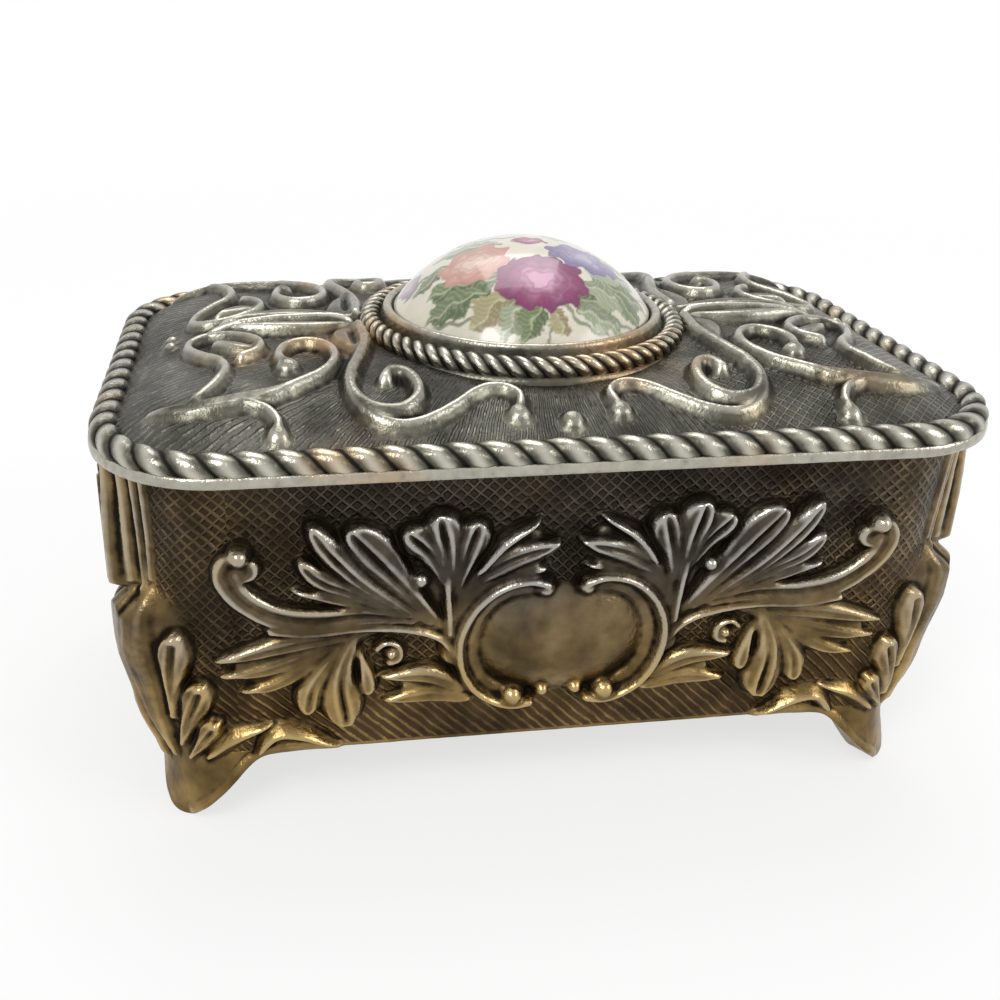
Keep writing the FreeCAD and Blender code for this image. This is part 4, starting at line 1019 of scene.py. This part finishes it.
STEMS = [
    [(-4.0, -12.6), (-7.4, -14.2), (-11.8, -13.2), (-14.4, -11.8)],
    [(-2.0, -14.2), (-3.0, -16.8), (-6.8, -18.2)],
    [(0.2, -14.6), (0.6, -17.0), (-0.6, -19.0)], [(2.4, -14.2), (5.2, -16.6), (8.8, -17.0)],
    [(4.6, -13.6), (8.8, -14.2), (12.8, -14.4)], [(9.0, -6.6), (13.0, -7.4), (17.6, -6.2)],
    [(-9.6, -2.6), (-13.4, -1.4), (-17.4, -2.4)], [(-1.0, 0.4), (-5.0, 1.6), (-9.0, 4.4)],
    [(8.8, -2.4), (12.6, 0.4), (16.4, 2.6)], [(3.0, 2.0), (7.0, 5.4), (13.0, 5.8)],
    [(-6.0, 6.4), (-11.0, 6.0), (-15.0, 8.4)], [(1.0, 5.0), (2.2, 10.6), (0.4, 16.6)],
]
BLOOMS = [
    ((-7.4, -4.6), (4.9, 4.4), 7, SALMON), ((6.8, -4.6), (5.4, 3.4), 8, VIOLET),
    ((0.4, -1.2), (2.3, 1.6), 6, MAGENTA), ((-16.2, 0.6), (2.2, 3.4), 6, MAUVE),
    ((5.2, 8.6), (3.6, 3.4), 7, SALMON), ((-4.8, 9.0), (3.6, 3.2), 7, VIOLET),
    ((0.1, -10.4), (6.4, 4.9), 9, MAGENTA),
]


def cabochon(glaze):
    """Domed porcelain disc with a painted spray of flowers."""
    edge = CABOCHON_HIGH[0]
    top = CABOCHON_HIGH[2]
    girdle = CABOCHON_LOW[2] + GIRDLE
    rise = top - girdle
    sphere = (edge ** 2 + rise ** 2) / (2 * rise)
    rings, steps = 130, 420
    share = np.linspace(0, 1, rings) ** 0.9
    share[0] = 0.004
    angles = np.linspace(0, 2 * math.pi, steps, endpoint=False)
    radius = share * edge
    height = top - sphere + np.sqrt(sphere ** 2 - radius ** 2)
    radius = np.concatenate([radius, [edge, edge - 0.2]])
    height = np.concatenate([height, [CABOCHON_LOW[2] + 0.2, CABOCHON_LOW[2]]])
    x = np.cos(angles)[:, None] * radius
    y = np.sin(angles)[:, None] * radius
    points = np.stack([x, y, np.broadcast_to(height, x.shape)], axis=-1)
    count, depth = x.shape
    faces = grid_faces(count, depth, loop_columns=True)[:, ::-1]
    index = np.arange(count * depth).reshape(count, depth)
    caps = [index[None, :, 0], index[None, ::-1, -1]]
    mesh = mesh_from("cabochon_dome", points.reshape(-1, 3), [faces] + caps)
    from_axis = np.hypot(x, y)
    lean = np.arcsin(np.clip(from_axis / sphere, 0, 1)) * sphere / np.maximum(from_axis, 0.01)
    flat_x, flat_y = x * lean, y * lean
    waver = 0.3 * np.sin(1.7 * flat_y + 1.1 * flat_x) + 0.16 * np.sin(4.3 * flat_x - 3.1 * flat_y)
    flat_x, flat_y = flat_x + waver, flat_y + 0.3 * np.sin(1.9 * flat_x - 0.8 * flat_y) - 0.4 * waver
    colour = np.broadcast_to(np.asarray(GLAZE, dtype=float), x.shape + (3,)).copy()
    swirl = np.sin(flat_x * 0.9 + 2 * np.sin(flat_y * 0.7)) * np.sin(flat_y * 1.1 - flat_x * 0.4)
    colour = blend(colour, SAGE[2], np.clip(swirl * 0.8 - 0.15, 0, 0.7))
    for stem in STEMS:
        gap = nearest_on(smooth_line(stem), flat_x.ravel(), flat_y.ravel())[0].reshape(x.shape)
        colour = blend(colour, SAGE[0], np.clip((0.34 - gap) / 0.16, 0, 0.85))
    for root, tip, width, shades in LEAVES:
        colour = leaf_paint(colour, flat_x, flat_y, root, tip, width, shades)
    for centre, radii, petals, shades in BLOOMS:
        stretched = (flat_y - centre[1]) * radii[0] / radii[1] + centre[1]
        colour = bloom(colour, flat_x, stretched, centre, radii[0], petals, shades)
    paint = mesh.color_attributes.new("paint", "FLOAT_COLOR", "POINT")
    paint.data.foreach_set("color", flat_row(np.concatenate([colour, np.ones(x.shape + (1,))], axis=-1)))
    add_piece("cabochon_dome", mesh, glaze, "lid", "porcelain", "porcelain_cabochon")


def barrel(name, centre, half_length, web, body, finish):
    """Hinge barrel with rounded ends and the web that ties it to its casting."""
    angles = np.linspace(0, 2 * math.pi, BARREL_SIDES, endpoint=False)
    stations = [(-half_length, 0.55), (-half_length, 0.8), (-half_length + BARREL_EASE, 1.0),
                (half_length - BARREL_EASE, 1.0), (half_length, 0.8), (half_length, 0.55)]
    rings = []
    for along, share in stations:
        radius = BARREL_RADIUS * share
        round_it = [np.cos(angles) * radius, np.sin(angles) * radius]
        rings.append(np.stack([np.full(BARREL_SIDES, along)] + round_it, axis=1))
    points = np.stack(rings, axis=1).reshape(-1, 3) + np.asarray(centre)
    faces = grid_faces(BARREL_SIDES, len(stations), loop_columns=True)[:, ::-1]
    index = np.arange(BARREL_SIDES * len(stations)).reshape(BARREL_SIDES, len(stations))
    shape = bmesh.new()
    shape.from_mesh(mesh_from(name, points, [faces, index[None, :, 0], index[None, ::-1, -1]]))
    width = half_length - WEB_CLEARANCE
    tie = bmesh.ops.create_cube(shape, size=1.0)["verts"]
    low = np.minimum(np.zeros(2), np.asarray(web))
    high = np.maximum(np.zeros(2), np.asarray(web))
    for point in tie:
        point.co.x = (centre[0] + point.co.x * 2 * width) * MM
        point.co.y = (centre[1] + (low[0] if point.co.y < 0 else high[0])) * MM
        point.co.z = (centre[2] + (low[1] if point.co.z < 0 else high[1])) * MM
    edges = list({edge for point in tie for edge in point.link_edges})
    bmesh.ops.bevel(shape, geom=edges, offset=WEB_BEVEL * MM, segments=2, affect="EDGES", profile=0.5)
    mesh = bpy.data.meshes.new(name)
    shape.to_mesh(mesh)
    shape.free()
    for label, value in (("crest", 0.35), ("pit", 0.2), ("body", 1.0)):
        mark = mesh.attributes.new(label, "FLOAT", "POINT")
        mark.data.foreach_set("value", np.full(len(mesh.vertices), value))
    casting = "box_casting" if body == "box" else "lid_casting"
    add_piece(name, mesh, finish, body, "plated_casting", casting)


def hinges(finish):
    """Lugs of the box and knuckles of the lid round the two pins."""
    pin_y = (PIN_LOW[1] + PIN_HIGH[1]) / 2
    pin_z = (PIN_LOW[2] + PIN_HIGH[2]) / 2
    station = -(PIN_LOW[0] + PIN_HIGH[0]) / 2
    wall = CORNER[1] + TOP_RADIUS - LUG_BITE - pin_y
    for side in (-1, 1):
        name = "left" if side < 0 else "right"
        barrel(f"knuckle_{name}", (side * station, pin_y, pin_z), KNUCKLE_HALF, KNUCKLE_WEB, "lid", finish)
        for end in (-1, 1):
            centre = (side * station + end * LUG_FROM_MIDDLE, pin_y, pin_z)
            place = "inner" if end * side < 0 else "outer"
            barrel(f"lug_{name}_{place}", centre, LUG_HALF, (wall, LUG_DROP), "box", finish)


def puffed(name, sides, deep):
    """Pad on the plane z = 0: a sheet held at its edge, blown up by a cloth simulation and closed below."""
    half_x, half_y, radius = sides
    core = half_y - radius
    bend = core + radius * np.sin(np.linspace(0, math.pi / 2, PAD_BEND_STEPS))
    middle = np.linspace(-core, core, round(2 * core / PAD_STEP) + 1)[1:-1]
    along = np.concatenate([-bend[::-1], middle, bend])
    over = np.clip(np.abs(along) - core, 0, radius)
    reach = half_x - radius + np.sqrt(radius ** 2 - over ** 2)
    across = np.linspace(-1, 1, round(2 * half_x / PAD_STEP) + 1)[:, None] * reach
    height = np.full(across.shape, deep * PAD_START)
    held = np.zeros(across.shape, dtype=bool)
    held[[0, -1], :] = True
    held[:, [0, -1]] = True
    height[held] = deep * PAD_RIM
    points = np.stack([across, np.broadcast_to(along, across.shape), height], axis=-1).reshape(-1, 3)
    # The cloth runs larger than it is, where its settings behave as for everyday cloth.
    sheet = mesh_from(name, points * CLOTH_SCALE, [grid_faces(*across.shape)])
    holder = bpy.data.objects.new(name, sheet)
    bpy.context.scene.collection.objects.link(holder)
    edge_points = np.nonzero(held.ravel())[0].tolist()
    holder.vertex_groups.new(name="held").add(edge_points, 1.0, "REPLACE")
    cloth = holder.modifiers.new("cloth", "CLOTH")
    cloth.settings.vertex_group_mass = "held"
    cloth.settings.use_pressure = True
    cloth.settings.uniform_pressure_force = PAD_PRESSURE
    cloth.settings.effector_weights.gravity = 0.0
    cloth.point_cache.frame_start = 1
    cloth.point_cache.frame_end = PAD_FRAMES
    fine = holder.modifiers.new("fine", "SUBSURF")
    fine.levels = 1
    fine.render_levels = 1
    for moment in range(1, PAD_FRAMES + 1):
        bpy.context.scene.frame_set(moment)
    found = holder.evaluated_get(bpy.context.evaluated_depsgraph_get())
    mesh = bpy.data.meshes.new_from_object(found)
    mesh.transform(Matrix.Scale(1 / CLOTH_SCALE, 4))
    holder.modifiers.clear()
    bpy.data.objects.remove(holder)
    bpy.context.scene.frame_set(1)
    places = np.empty(len(mesh.vertices) * 3, dtype=np.float32)
    mesh.vertices.foreach_get("co", places)
    places = places.reshape(-1, 3)
    # The swelling is scaled to the room that the pad has.
    rim = deep * PAD_RIM
    rise = places[:, 2] / MM - rim
    places[:, 2] = (rim + rise * (deep + PAD_CROWN - rim) / rise.max()) * MM
    mesh.vertices.foreach_set("co", flat_row(places))
    mesh.update()
    close_below(mesh, 0.0)
    mesh.polygons.foreach_set("use_smooth", np.ones(len(mesh.polygons), dtype=bool))
    return mesh


def wall_lining(velvet):
    """Velvet on the walls: up the back of the lining, over its rolled top edge and down the face."""
    low, high = extent("wall_velvet")
    top = high[2]
    half_x, half_y = high[0], high[1]
    spread = DRAFT * (top - low[2]) / (RIM - FOOT_HEIGHT - FLOOR_THICKNESS)
    shares = [step / LINING_STEPS for step in range(LINING_STEPS + 1)]
    climb = top - LINING_BACK_ROLL - low[2]
    levels = [(spread * (1 - share), low[2] + climb * share) for share in shares]
    levels += [(0.15, top - 0.1), (0.4, top), (0.7, top - 0.1)]
    climb = top - LINING_FACE_ROLL - low[2]
    for share in reversed(shares):
        face = LINING_THICKNESS + LINING_SWELL * math.sin(math.pi * share)
        levels.append((spread * (1 - share) + face, low[2] + climb * share))
    mesh = stacked_loops("wall_lining", (half_x, half_y, half_x - CORNER[0]), levels, ring=True)
    piece = add_piece("wall_lining", mesh, velvet, "box", "velvet", "wall_velvet")


def velvet_pads(velvet, wadding):
    """Floor pad and lid pad, each over its layer of wadding."""
    for name, node, body, finish, slot, up in (
        ("floor_pad", "floor_velvet", "box", velvet, "velvet", 1),
        ("floor_filling", "floor_wadding", "box", wadding, "wadding", 1),
        ("lid_pad", "lid_velvet", "lid", velvet, "velvet", -1),
        ("lid_filling", "lid_wadding", "lid", wadding, "wadding", -1),
    ):
        low, high = extent(node)
        deep = high[2] - low[2]
        base = low[2] if up > 0 else high[2]
        sides = (high[0], high[1], FLOOR_PAD_RADIUS if up > 0 else LID_PAD_RADIUS)
        if slot == "velvet":
            mesh = puffed(name, sides, deep)
        else:
            levels = [(WADDING_EASE, 0), (0, deep * 0.3), (0, deep * 0.7), (WADDING_EASE, deep)]
            mesh = stacked_loops(name, sides, levels)
        mesh.transform(Matrix.Translation((0, 0, base * MM)) @ Matrix.Diagonal((1, 1, up, 1)))
        if up < 0:
            mesh.flip_normals()
        piece = add_piece(name, mesh, finish, body, slot, node)


def new_material(name):
    """Empty node material and its tree."""
    material = bpy.data.materials.new(name)
    material.use_nodes = True
    material.node_tree.nodes.clear()
    return material, Tree(material.node_tree)


def patina_and_shading_group():
    """Shader group: plate rubbed bright with a painted highlight on crests, dark patina with painted shade in
    pits and between tooled lines, with warm tones and a tooled ground.
    """
    group = bpy.data.node_groups.new("worn_and_shaded_plate", "ShaderNodeTree")
    for name in ("Crest", "Pit", "Body", "Warmth", "Lines"):
        group.interface.new_socket(name, in_out="INPUT", socket_type="NodeSocketFloat")
    for name in ("Bright", "Bright Warm Tone", "Middle", "Middle Warm Tone", "Ground", "Ground Warm Tone", "Dark"):
        group.interface.new_socket(name, in_out="INPUT", socket_type="NodeSocketColor")
    results = {"Color": "NodeSocketColor", "Roughness": "NodeSocketFloat", "Height": "NodeSocketFloat"}
    for name, kind in results.items():
        group.interface.new_socket(name, in_out="OUTPUT", socket_type=kind)
    tree = Tree(group)
    given = tree.node("NodeGroupInput").outputs
    place = tree.place()
    fine = tree.noise(place, 900.0, 4.0)
    speck = tree.noise(place, 2600.0)
    broad = tree.noise(place, 95.0, 3.0)
    loose = tree.maths("SUBTRACT", fine, 0.5)
    crest = tree.maths("MULTIPLY_ADD", loose, 0.45, given["Crest"])
    pit = tree.maths("MULTIPLY_ADD", loose, -0.8, given["Pit"])
    warm = tree.maths("SUBTRACT", given["Warmth"], 0.45)
    # Share of the warm tone: on the walls tarnish mixed with a painted warm reflection, on the lid scattered
    # touches.
    warm_tone = tree.ramp(tree.maths("MULTIPLY_ADD", broad, 0.9, warm), 0.1, 0.9)
    middle = tree.mix(warm_tone, given["Middle"], given["Middle Warm Tone"])
    bright = tree.mix(warm_tone, given["Bright"], given["Bright Warm Tone"])
    ground = tree.mix(warm_tone, given["Ground"], given["Ground Warm Tone"])
    bare = tree.maths("SUBTRACT", 1.0, given["Body"])
    valley = tree.maths("MULTIPLY", bare, tree.maths("SUBTRACT", 1.0, given["Lines"]))
    tooled = tree.mix(tree.maths("MULTIPLY", given["Lines"], 0.85), ground, middle)
    surface = tree.mix(given["Body"], tooled, middle)
    small = tree.ramp(tree.noise(place, 330.0, 6.0), 0.32, 0.68, 0.66, 1.2)
    large = tree.ramp(tree.noise(place, 125.0, 3.0), 0.36, 0.62, 0.45, 1.12)
    mottle = tree.maths("MULTIPLY", small, large)
    patchy = tree.node("ShaderNodeVectorMath", {0: surface, "Scale": mottle}, operation="SCALE")
    # Crests rubbed bright, also standing for a painted highlight.
    rubbed_and_lit = tree.mix(tree.ramp(crest, 0.15, 0.85), patchy, bright)
    # Pits and the ground between tooled lines darkened: real patina and painted shade.
    depth = tree.maths("MAXIMUM", tree.ramp(pit, 0.15, 0.8), tree.maths("MULTIPLY", valley, 0.45))
    sunk = tree.mix(depth, rubbed_and_lit, given["Dark"])
    dullness = tree.maths("SUBTRACT", depth, tree.maths("MULTIPLY", crest, 0.5))
    rough = tree.ramp(dullness, -0.3, 0.8, 0.2, 0.6)
    lumps = tree.maths("MULTIPLY_ADD", speck, 0.2, tree.maths("MULTIPLY", fine, 0.4))
    raised = tree.maths("MULTIPLY_ADD", tree.maths("MULTIPLY", given["Lines"], bare), 1.4, lumps)
    tree.node("NodeGroupOutput", {"Color": sunk, "Roughness": rough, "Height": raised})
    return group


def line_family(tree, cycles, share):
    """Fine raised lines where a running number of cycles is whole, each a share of the pitch wide."""
    away = tree.maths("PINGPONG", cycles, 0.5)
    return tree.ramp(away, share * 0.4, share, 1.0, 0.0)


def wall_lines(tree, place):
    """Crossed hatching of the walls, single slanting lines low down."""
    run = tree.node("ShaderNodeAttribute", attribute_name="run").outputs["Fac"]
    level = tree.maths("DIVIDE", tree.node("ShaderNodeSeparateXYZ", {"Vector": place}).outputs["Z"], MM)
    wobble = tree.maths("MULTIPLY", tree.noise(place, 330.0), 0.8)
    climbing = tree.maths("ADD", tree.maths("ADD", run, level), wobble)
    first = tree.maths("DIVIDE", climbing, WALL_HATCH)
    falling = tree.maths("ADD", tree.maths("SUBTRACT", run, level), wobble)
    second = tree.maths("DIVIDE", falling, WALL_HATCH)
    crossed = tree.maths("MULTIPLY", line_family(tree, second, 0.24), tree.ramp(level, 18.0, 24.0))
    lines = tree.maths("MAXIMUM", line_family(tree, first, 0.26), crossed)
    worn = tree.ramp(tree.noise(place, 420.0, 4.0), 0.32, 0.62, 0.3, 1.0)
    above_foot = tree.ramp(level, 9.3, 9.5)
    below_rim = tree.ramp(level, RIM - 0.9, RIM - 0.5, 1.0, 0.0)
    plain = tree.maths("SUBTRACT", 1.0, tree.maths("MULTIPLY", above_foot, below_rim))
    return tree.maths("MAXIMUM", tree.maths("MULTIPLY", lines, worn), plain)


def lid_lines(tree, place):
    """Short strokes that fan out from the bezel, crossed hatching on the right."""
    parts = tree.node("ShaderNodeSeparateXYZ", {"Vector": place}).outputs
    across = tree.maths("DIVIDE", parts["X"], MM)
    deep = tree.maths("DIVIDE", parts["Y"], MM)
    wobble = tree.noise(place, 260.0, 3.0)
    turn = tree.maths("MULTIPLY", tree.maths("ARCTAN2", deep, across), STROKES / (2 * math.pi))
    fan = line_family(tree, tree.maths("MULTIPLY_ADD", wobble, 1.6, turn), 0.3)
    broken = tree.ramp(tree.noise(place, 620.0, 4.0), 0.36, 0.62, 0.05, 0.8)
    strokes = tree.maths("MULTIPLY", fan, broken)
    loose = tree.maths("MULTIPLY", wobble, 0.8)
    climbing = tree.maths("ADD", tree.maths("ADD", across, deep), loose)
    falling = tree.maths("ADD", tree.maths("SUBTRACT", across, deep), loose)
    first = tree.maths("DIVIDE", climbing, LID_HATCH)
    second = tree.maths("DIVIDE", falling, LID_HATCH)
    crossed = tree.maths("MAXIMUM", line_family(tree, first, 0.2), line_family(tree, second, 0.2))
    right = tree.ramp(tree.maths("MULTIPLY_ADD", wobble, 10.0, across), 18.0, 28.0)
    mixed = tree.node("ShaderNodeMix", {0: right, 2: strokes, 3: crossed}, data_type="FLOAT")
    return mixed.outputs[0]


def wall_tarnish_and_reflection(tree, place):
    """Share of warm tone: tarnish and a painted warm reflection low down, and higher up towards the ends; the
    dark tone left high in the middle is a painted dark reflection.
    """
    parts = tree.node("ShaderNodeSeparateXYZ", {"Vector": place}).outputs
    low = tree.ramp(parts["Z"], 15.0 * MM, 35.0 * MM, 1.0, 0.0)
    ends = tree.ramp(tree.maths("ABSOLUTE", parts["X"]), 22.0 * MM, 44.0 * MM, 0.0, 0.55)
    return tree.maths("MAXIMUM", low, ends)


def lid_warmth(tree, place):
    """Share of warm stain: scattered touches."""
    return tree.ramp(tree.noise(place, 60.0), 0.5, 0.75, 0.0, 0.9)


def plate(name, patina_and_shading, colours, lines, warmth):
    """Plated casting: the shared patina with painted highlight and shade, its own colours, tooled lines and
    warm tones.
    """
    material, tree = new_material(name)
    place = tree.place()
    rubbed_and_lit = tree.node("ShaderNodeGroup", node_tree=patina_and_shading)
    for mark in ("Crest", "Pit", "Body"):
        values = tree.node("ShaderNodeAttribute", attribute_name=mark.lower())
        tree.feed(rubbed_and_lit, mark, values.outputs["Fac"])
    tree.feed(rubbed_and_lit, "Warmth", warmth(tree, place))
    tree.feed(rubbed_and_lit, "Lines", lines(tree, place))
    for socket, colour in colours.items():
        tree.feed(rubbed_and_lit, socket, colour + (1,))
    raised = tree.bump(rubbed_and_lit.outputs["Height"], 0.8, 0.0003)
    tree.surface({"Base Color": rubbed_and_lit.outputs["Color"], "Metallic": 1.0,
                  "Roughness": rubbed_and_lit.outputs["Roughness"], "Normal": raised})
    return material


def porcelain():
    """Painted porcelain under a clear glaze."""
    material, tree = new_material("painted_porcelain")
    paint = tree.node("ShaderNodeAttribute", attribute_name="paint").outputs["Color"]
    place = tree.place()
    tone = tree.ramp(tree.noise(place, 420.0, 4.0), 0.0, 1.0, 0.82, 1.1)
    brushed = tree.node("ShaderNodeMix", {"Factor": 1.0, 6: paint, 7: tone}, data_type="RGBA",
                        blend_type="MULTIPLY")
    raised = tree.bump(tree.noise(place, 130.0, 1.0), 0.05, 0.0005)
    tree.surface({"Base Color": brushed.outputs[2], "Roughness": 0.22, "IOR": 1.5, "Coat Weight": 0.6,
                  "Coat Roughness": 0.04, "Normal": raised})
    return material


def pile(name, colour, shade, scale):
    """Short pile or fibre: mottled colour, sheen and a fine bump."""
    material, tree = new_material(name)
    place = tree.place()
    nap = tree.ramp(tree.noise(place, 110.0, 3.0), 0.35, 0.65)
    tone = tree.mix(nap, colour + (1,), shade + (1,))
    raised = tree.bump(tree.noise(place, scale), 0.5, 0.0003)
    tree.surface({"Base Color": tone, "Roughness": 0.95, "Sheen Weight": 0.2, "Sheen Roughness": 0.35,
                  "Normal": raised})
    return material


def card():
    """Grey-brown board with flecks."""
    material, tree = new_material("pulp_card")
    fleck = tree.noise(tree.place(), 1400.0, 3.0)
    tone = tree.mix(fleck, (0.50, 0.42, 0.30, 1), (0.68, 0.60, 0.48, 1))
    raised = tree.bump(fleck, 0.3, 0.0002)
    tree.surface({"Base Color": tone, "Roughness": 0.85, "Normal": raised})
    return material


def drawn_wire():
    """Dull drawn wire with fine lines along its length."""
    material, tree = new_material("drawn_wire")
    stretched = tree.node("ShaderNodeMapping", {"Vector": tree.place(), "Scale": (40.0, 3000.0, 3000.0)})
    lines = tree.noise(stretched, 1.0, 3.0)
    tone = tree.mix(lines, (0.30, 0.28, 0.25, 1), (0.62, 0.60, 0.56, 1))
    rough = tree.ramp(lines, 0.0, 1.0, 0.25, 0.5)
    tree.surface({"Base Color": tone, "Metallic": 1.0, "Roughness": rough})
    return material


def seen_directly(tree):
    """1 for rays from the camera, in a mirror or through glass, otherwise 0."""
    path = tree.node("ShaderNodeLightPath").outputs
    seen = tree.maths("MAXIMUM", path["Is Camera Ray"], path["Is Glossy Ray"])
    return tree.maths("MAXIMUM", seen, path["Is Transmission Ray"])


def pale_floor():
    """Pale floor that keeps the shadow near the box and turns white further off."""
    reach = 40.0
    shape = bpy.data.meshes.new("floor")
    corners = [(-reach, -reach, 0), (reach, -reach, 0), (reach, reach, 0), (-reach, reach, 0)]
    shape.from_pydata(corners, [], [(0, 1, 2, 3)])
    floor = bpy.data.objects.new("floor", shape)
    bpy.context.scene.collection.objects.link(floor)
    material, tree = new_material("pale_floor")
    matt = tree.node("ShaderNodeBsdfDiffuse", {"Color": (0.9, 0.9, 0.9, 1)})
    glow = tree.node("ShaderNodeEmission", {"Color": (1, 1, 1, 1), "Strength": 1.0})
    away = tree.node("ShaderNodeVectorMath", {0: tree.place()}, operation="LENGTH").outputs["Value"]
    share = tree.maths("MULTIPLY", seen_directly(tree), tree.ramp(away, 0.12, 0.45, 0.7, 1.0))
    mixed = tree.node("ShaderNodeMixShader", {0: share, 1: matt, 2: glow})
    tree.node("ShaderNodeOutputMaterial", {"Surface": mixed})
    shape.materials.append(material)


def white_surround():
    """World that looks white and lights the box at half that strength."""
    world = bpy.data.worlds.new("surround")
    bpy.context.scene.world = world
    world.use_nodes = True
    world.node_tree.nodes.clear()
    tree = Tree(world.node_tree)
    level = tree.maths("MULTIPLY_ADD", seen_directly(tree), 0.5, 0.5)
    light = tree.node("ShaderNodeBackground", {"Color": (1, 1, 1, 1), "Strength": level})
    tree.node("ShaderNodeOutputWorld", {"Surface": light})


def soft_lamps():
    """Three soft area lamps, placed in metres and aimed at the middle of the box."""
    for name, place, size, power in (
        ("key", (-0.34, -0.46, 0.62), 0.34, 2.6),
        ("side", (0.62, -0.34, 0.42), 0.4, 1.6),
        ("top", (0.05, 0.30, 0.72), 0.5, 2.2),
    ):
        lamp = bpy.data.lights.new(name, "AREA")
        lamp.energy = power
        lamp.size = size
        holder = bpy.data.objects.new(name, lamp)
        holder.location = place
        aim = Vector((0, 0, 0.03)) - Vector(place)
        holder.rotation_euler = aim.to_track_quat("-Z", "Y").to_euler()
        bpy.context.scene.collection.objects.link(holder)


def photo_camera():
    """Camera at the photograph's viewing angle."""
    flat = math.cos(PITCH)
    forward = Vector((math.sin(YAW) * flat, math.cos(YAW) * flat, -math.sin(PITCH)))
    level = Vector((math.cos(YAW), -math.sin(YAW), 0))
    down = forward.cross(level)
    right = math.cos(ROLL) * level + math.sin(ROLL) * down
    fall = math.cos(ROLL) * down - math.sin(ROLL) * level
    camera = bpy.data.cameras.new("camera")
    camera.sensor_width = 36
    camera.lens = FOCAL / PHOTO_WIDTH * camera.sensor_width
    camera.shift_x = (PHOTO_WIDTH / 2 - PHOTO_MIDDLE[0]) / PHOTO_WIDTH
    camera.shift_y = (PHOTO_MIDDLE[1] - PHOTO_WIDTH / 2) / PHOTO_WIDTH
    camera.clip_start = 0.005
    viewer = bpy.data.objects.new("camera", camera)
    axes = Matrix((right, -fall, -forward)).transposed().to_4x4()
    viewer.matrix_world = Matrix.Translation(Vector(CAMERA_PLACE) * MM) @ axes
    bpy.context.scene.collection.objects.link(viewer)
    bpy.context.scene.camera = viewer


patina_and_shading = patina_and_shading_group()
# Wall colours: Bright on crests is rubbed wear and painted highlight, Dark in pits patina and painted shade;
# the warm tones low down are tarnish and a painted warm reflection, the dark middle tone above a painted dark
# reflection.
wall_plate = plate("antiqued_and_shaded_wall_plate", patina_and_shading, {
    "Bright": (0.37, 0.355, 0.32), "Bright Warm Tone": (0.45, 0.325, 0.145),
    "Middle": (0.088, 0.074, 0.056), "Middle Warm Tone": (0.27, 0.178, 0.066),
    "Ground": (0.050, 0.040, 0.030), "Ground Warm Tone": (0.13, 0.078, 0.034),
    "Dark": (0.014, 0.010, 0.006),
}, wall_lines, wall_tarnish_and_reflection)
# Lid colours: Bright on crests is rubbed wear and painted highlight, Dark in pits patina and painted shade.
lid_plate = plate("antiqued_and_shaded_lid_plate", patina_and_shading, {
    "Bright": (0.56, 0.54, 0.46), "Bright Warm Tone": (0.60, 0.44, 0.27),
    "Middle": (0.165, 0.16, 0.125), "Middle Warm Tone": (0.27, 0.18, 0.095),
    "Ground": (0.145, 0.142, 0.122), "Ground Warm Tone": (0.16, 0.135, 0.10),
    "Dark": (0.016, 0.015, 0.012),
}, lid_lines, lid_warmth)
box_walls(wall_plate)
box_floor(wall_plate)
lid_ground(lid_plate)
lid_flange(lid_plate)
cord = twisted_cord_tree()
rope_rim(cord, lid_plate)
bezel(cord, lid_plate)
cabochon(porcelain())
hinges(lid_plate)
velvet = pile("cut_velvet", (0.20, 0.012, 0.025), (0.34, 0.03, 0.05), 2600.0)
wadding = pile("cotton_wadding", (0.80, 0.77, 0.70), (0.88, 0.85, 0.78), 1500.0)
wall_lining(velvet)
velvet_pads(velvet, wadding)
shown_as_built = {
    card(): ("cabochon_bed", "wall_card", "floor_card", "lid_card"),
    drawn_wire(): ("hinge_pin_left", "hinge_pin_right"),
}
for finish, nodes in shown_as_built.items():
    for node in nodes:
        frame["nodes"][node].data.materials.clear()
        frame["nodes"][node].data.materials.append(finish)
pale_floor()
white_surround()
soft_lamps()
photo_camera()
bpy.context.scene.view_settings.view_transform = "Standard"
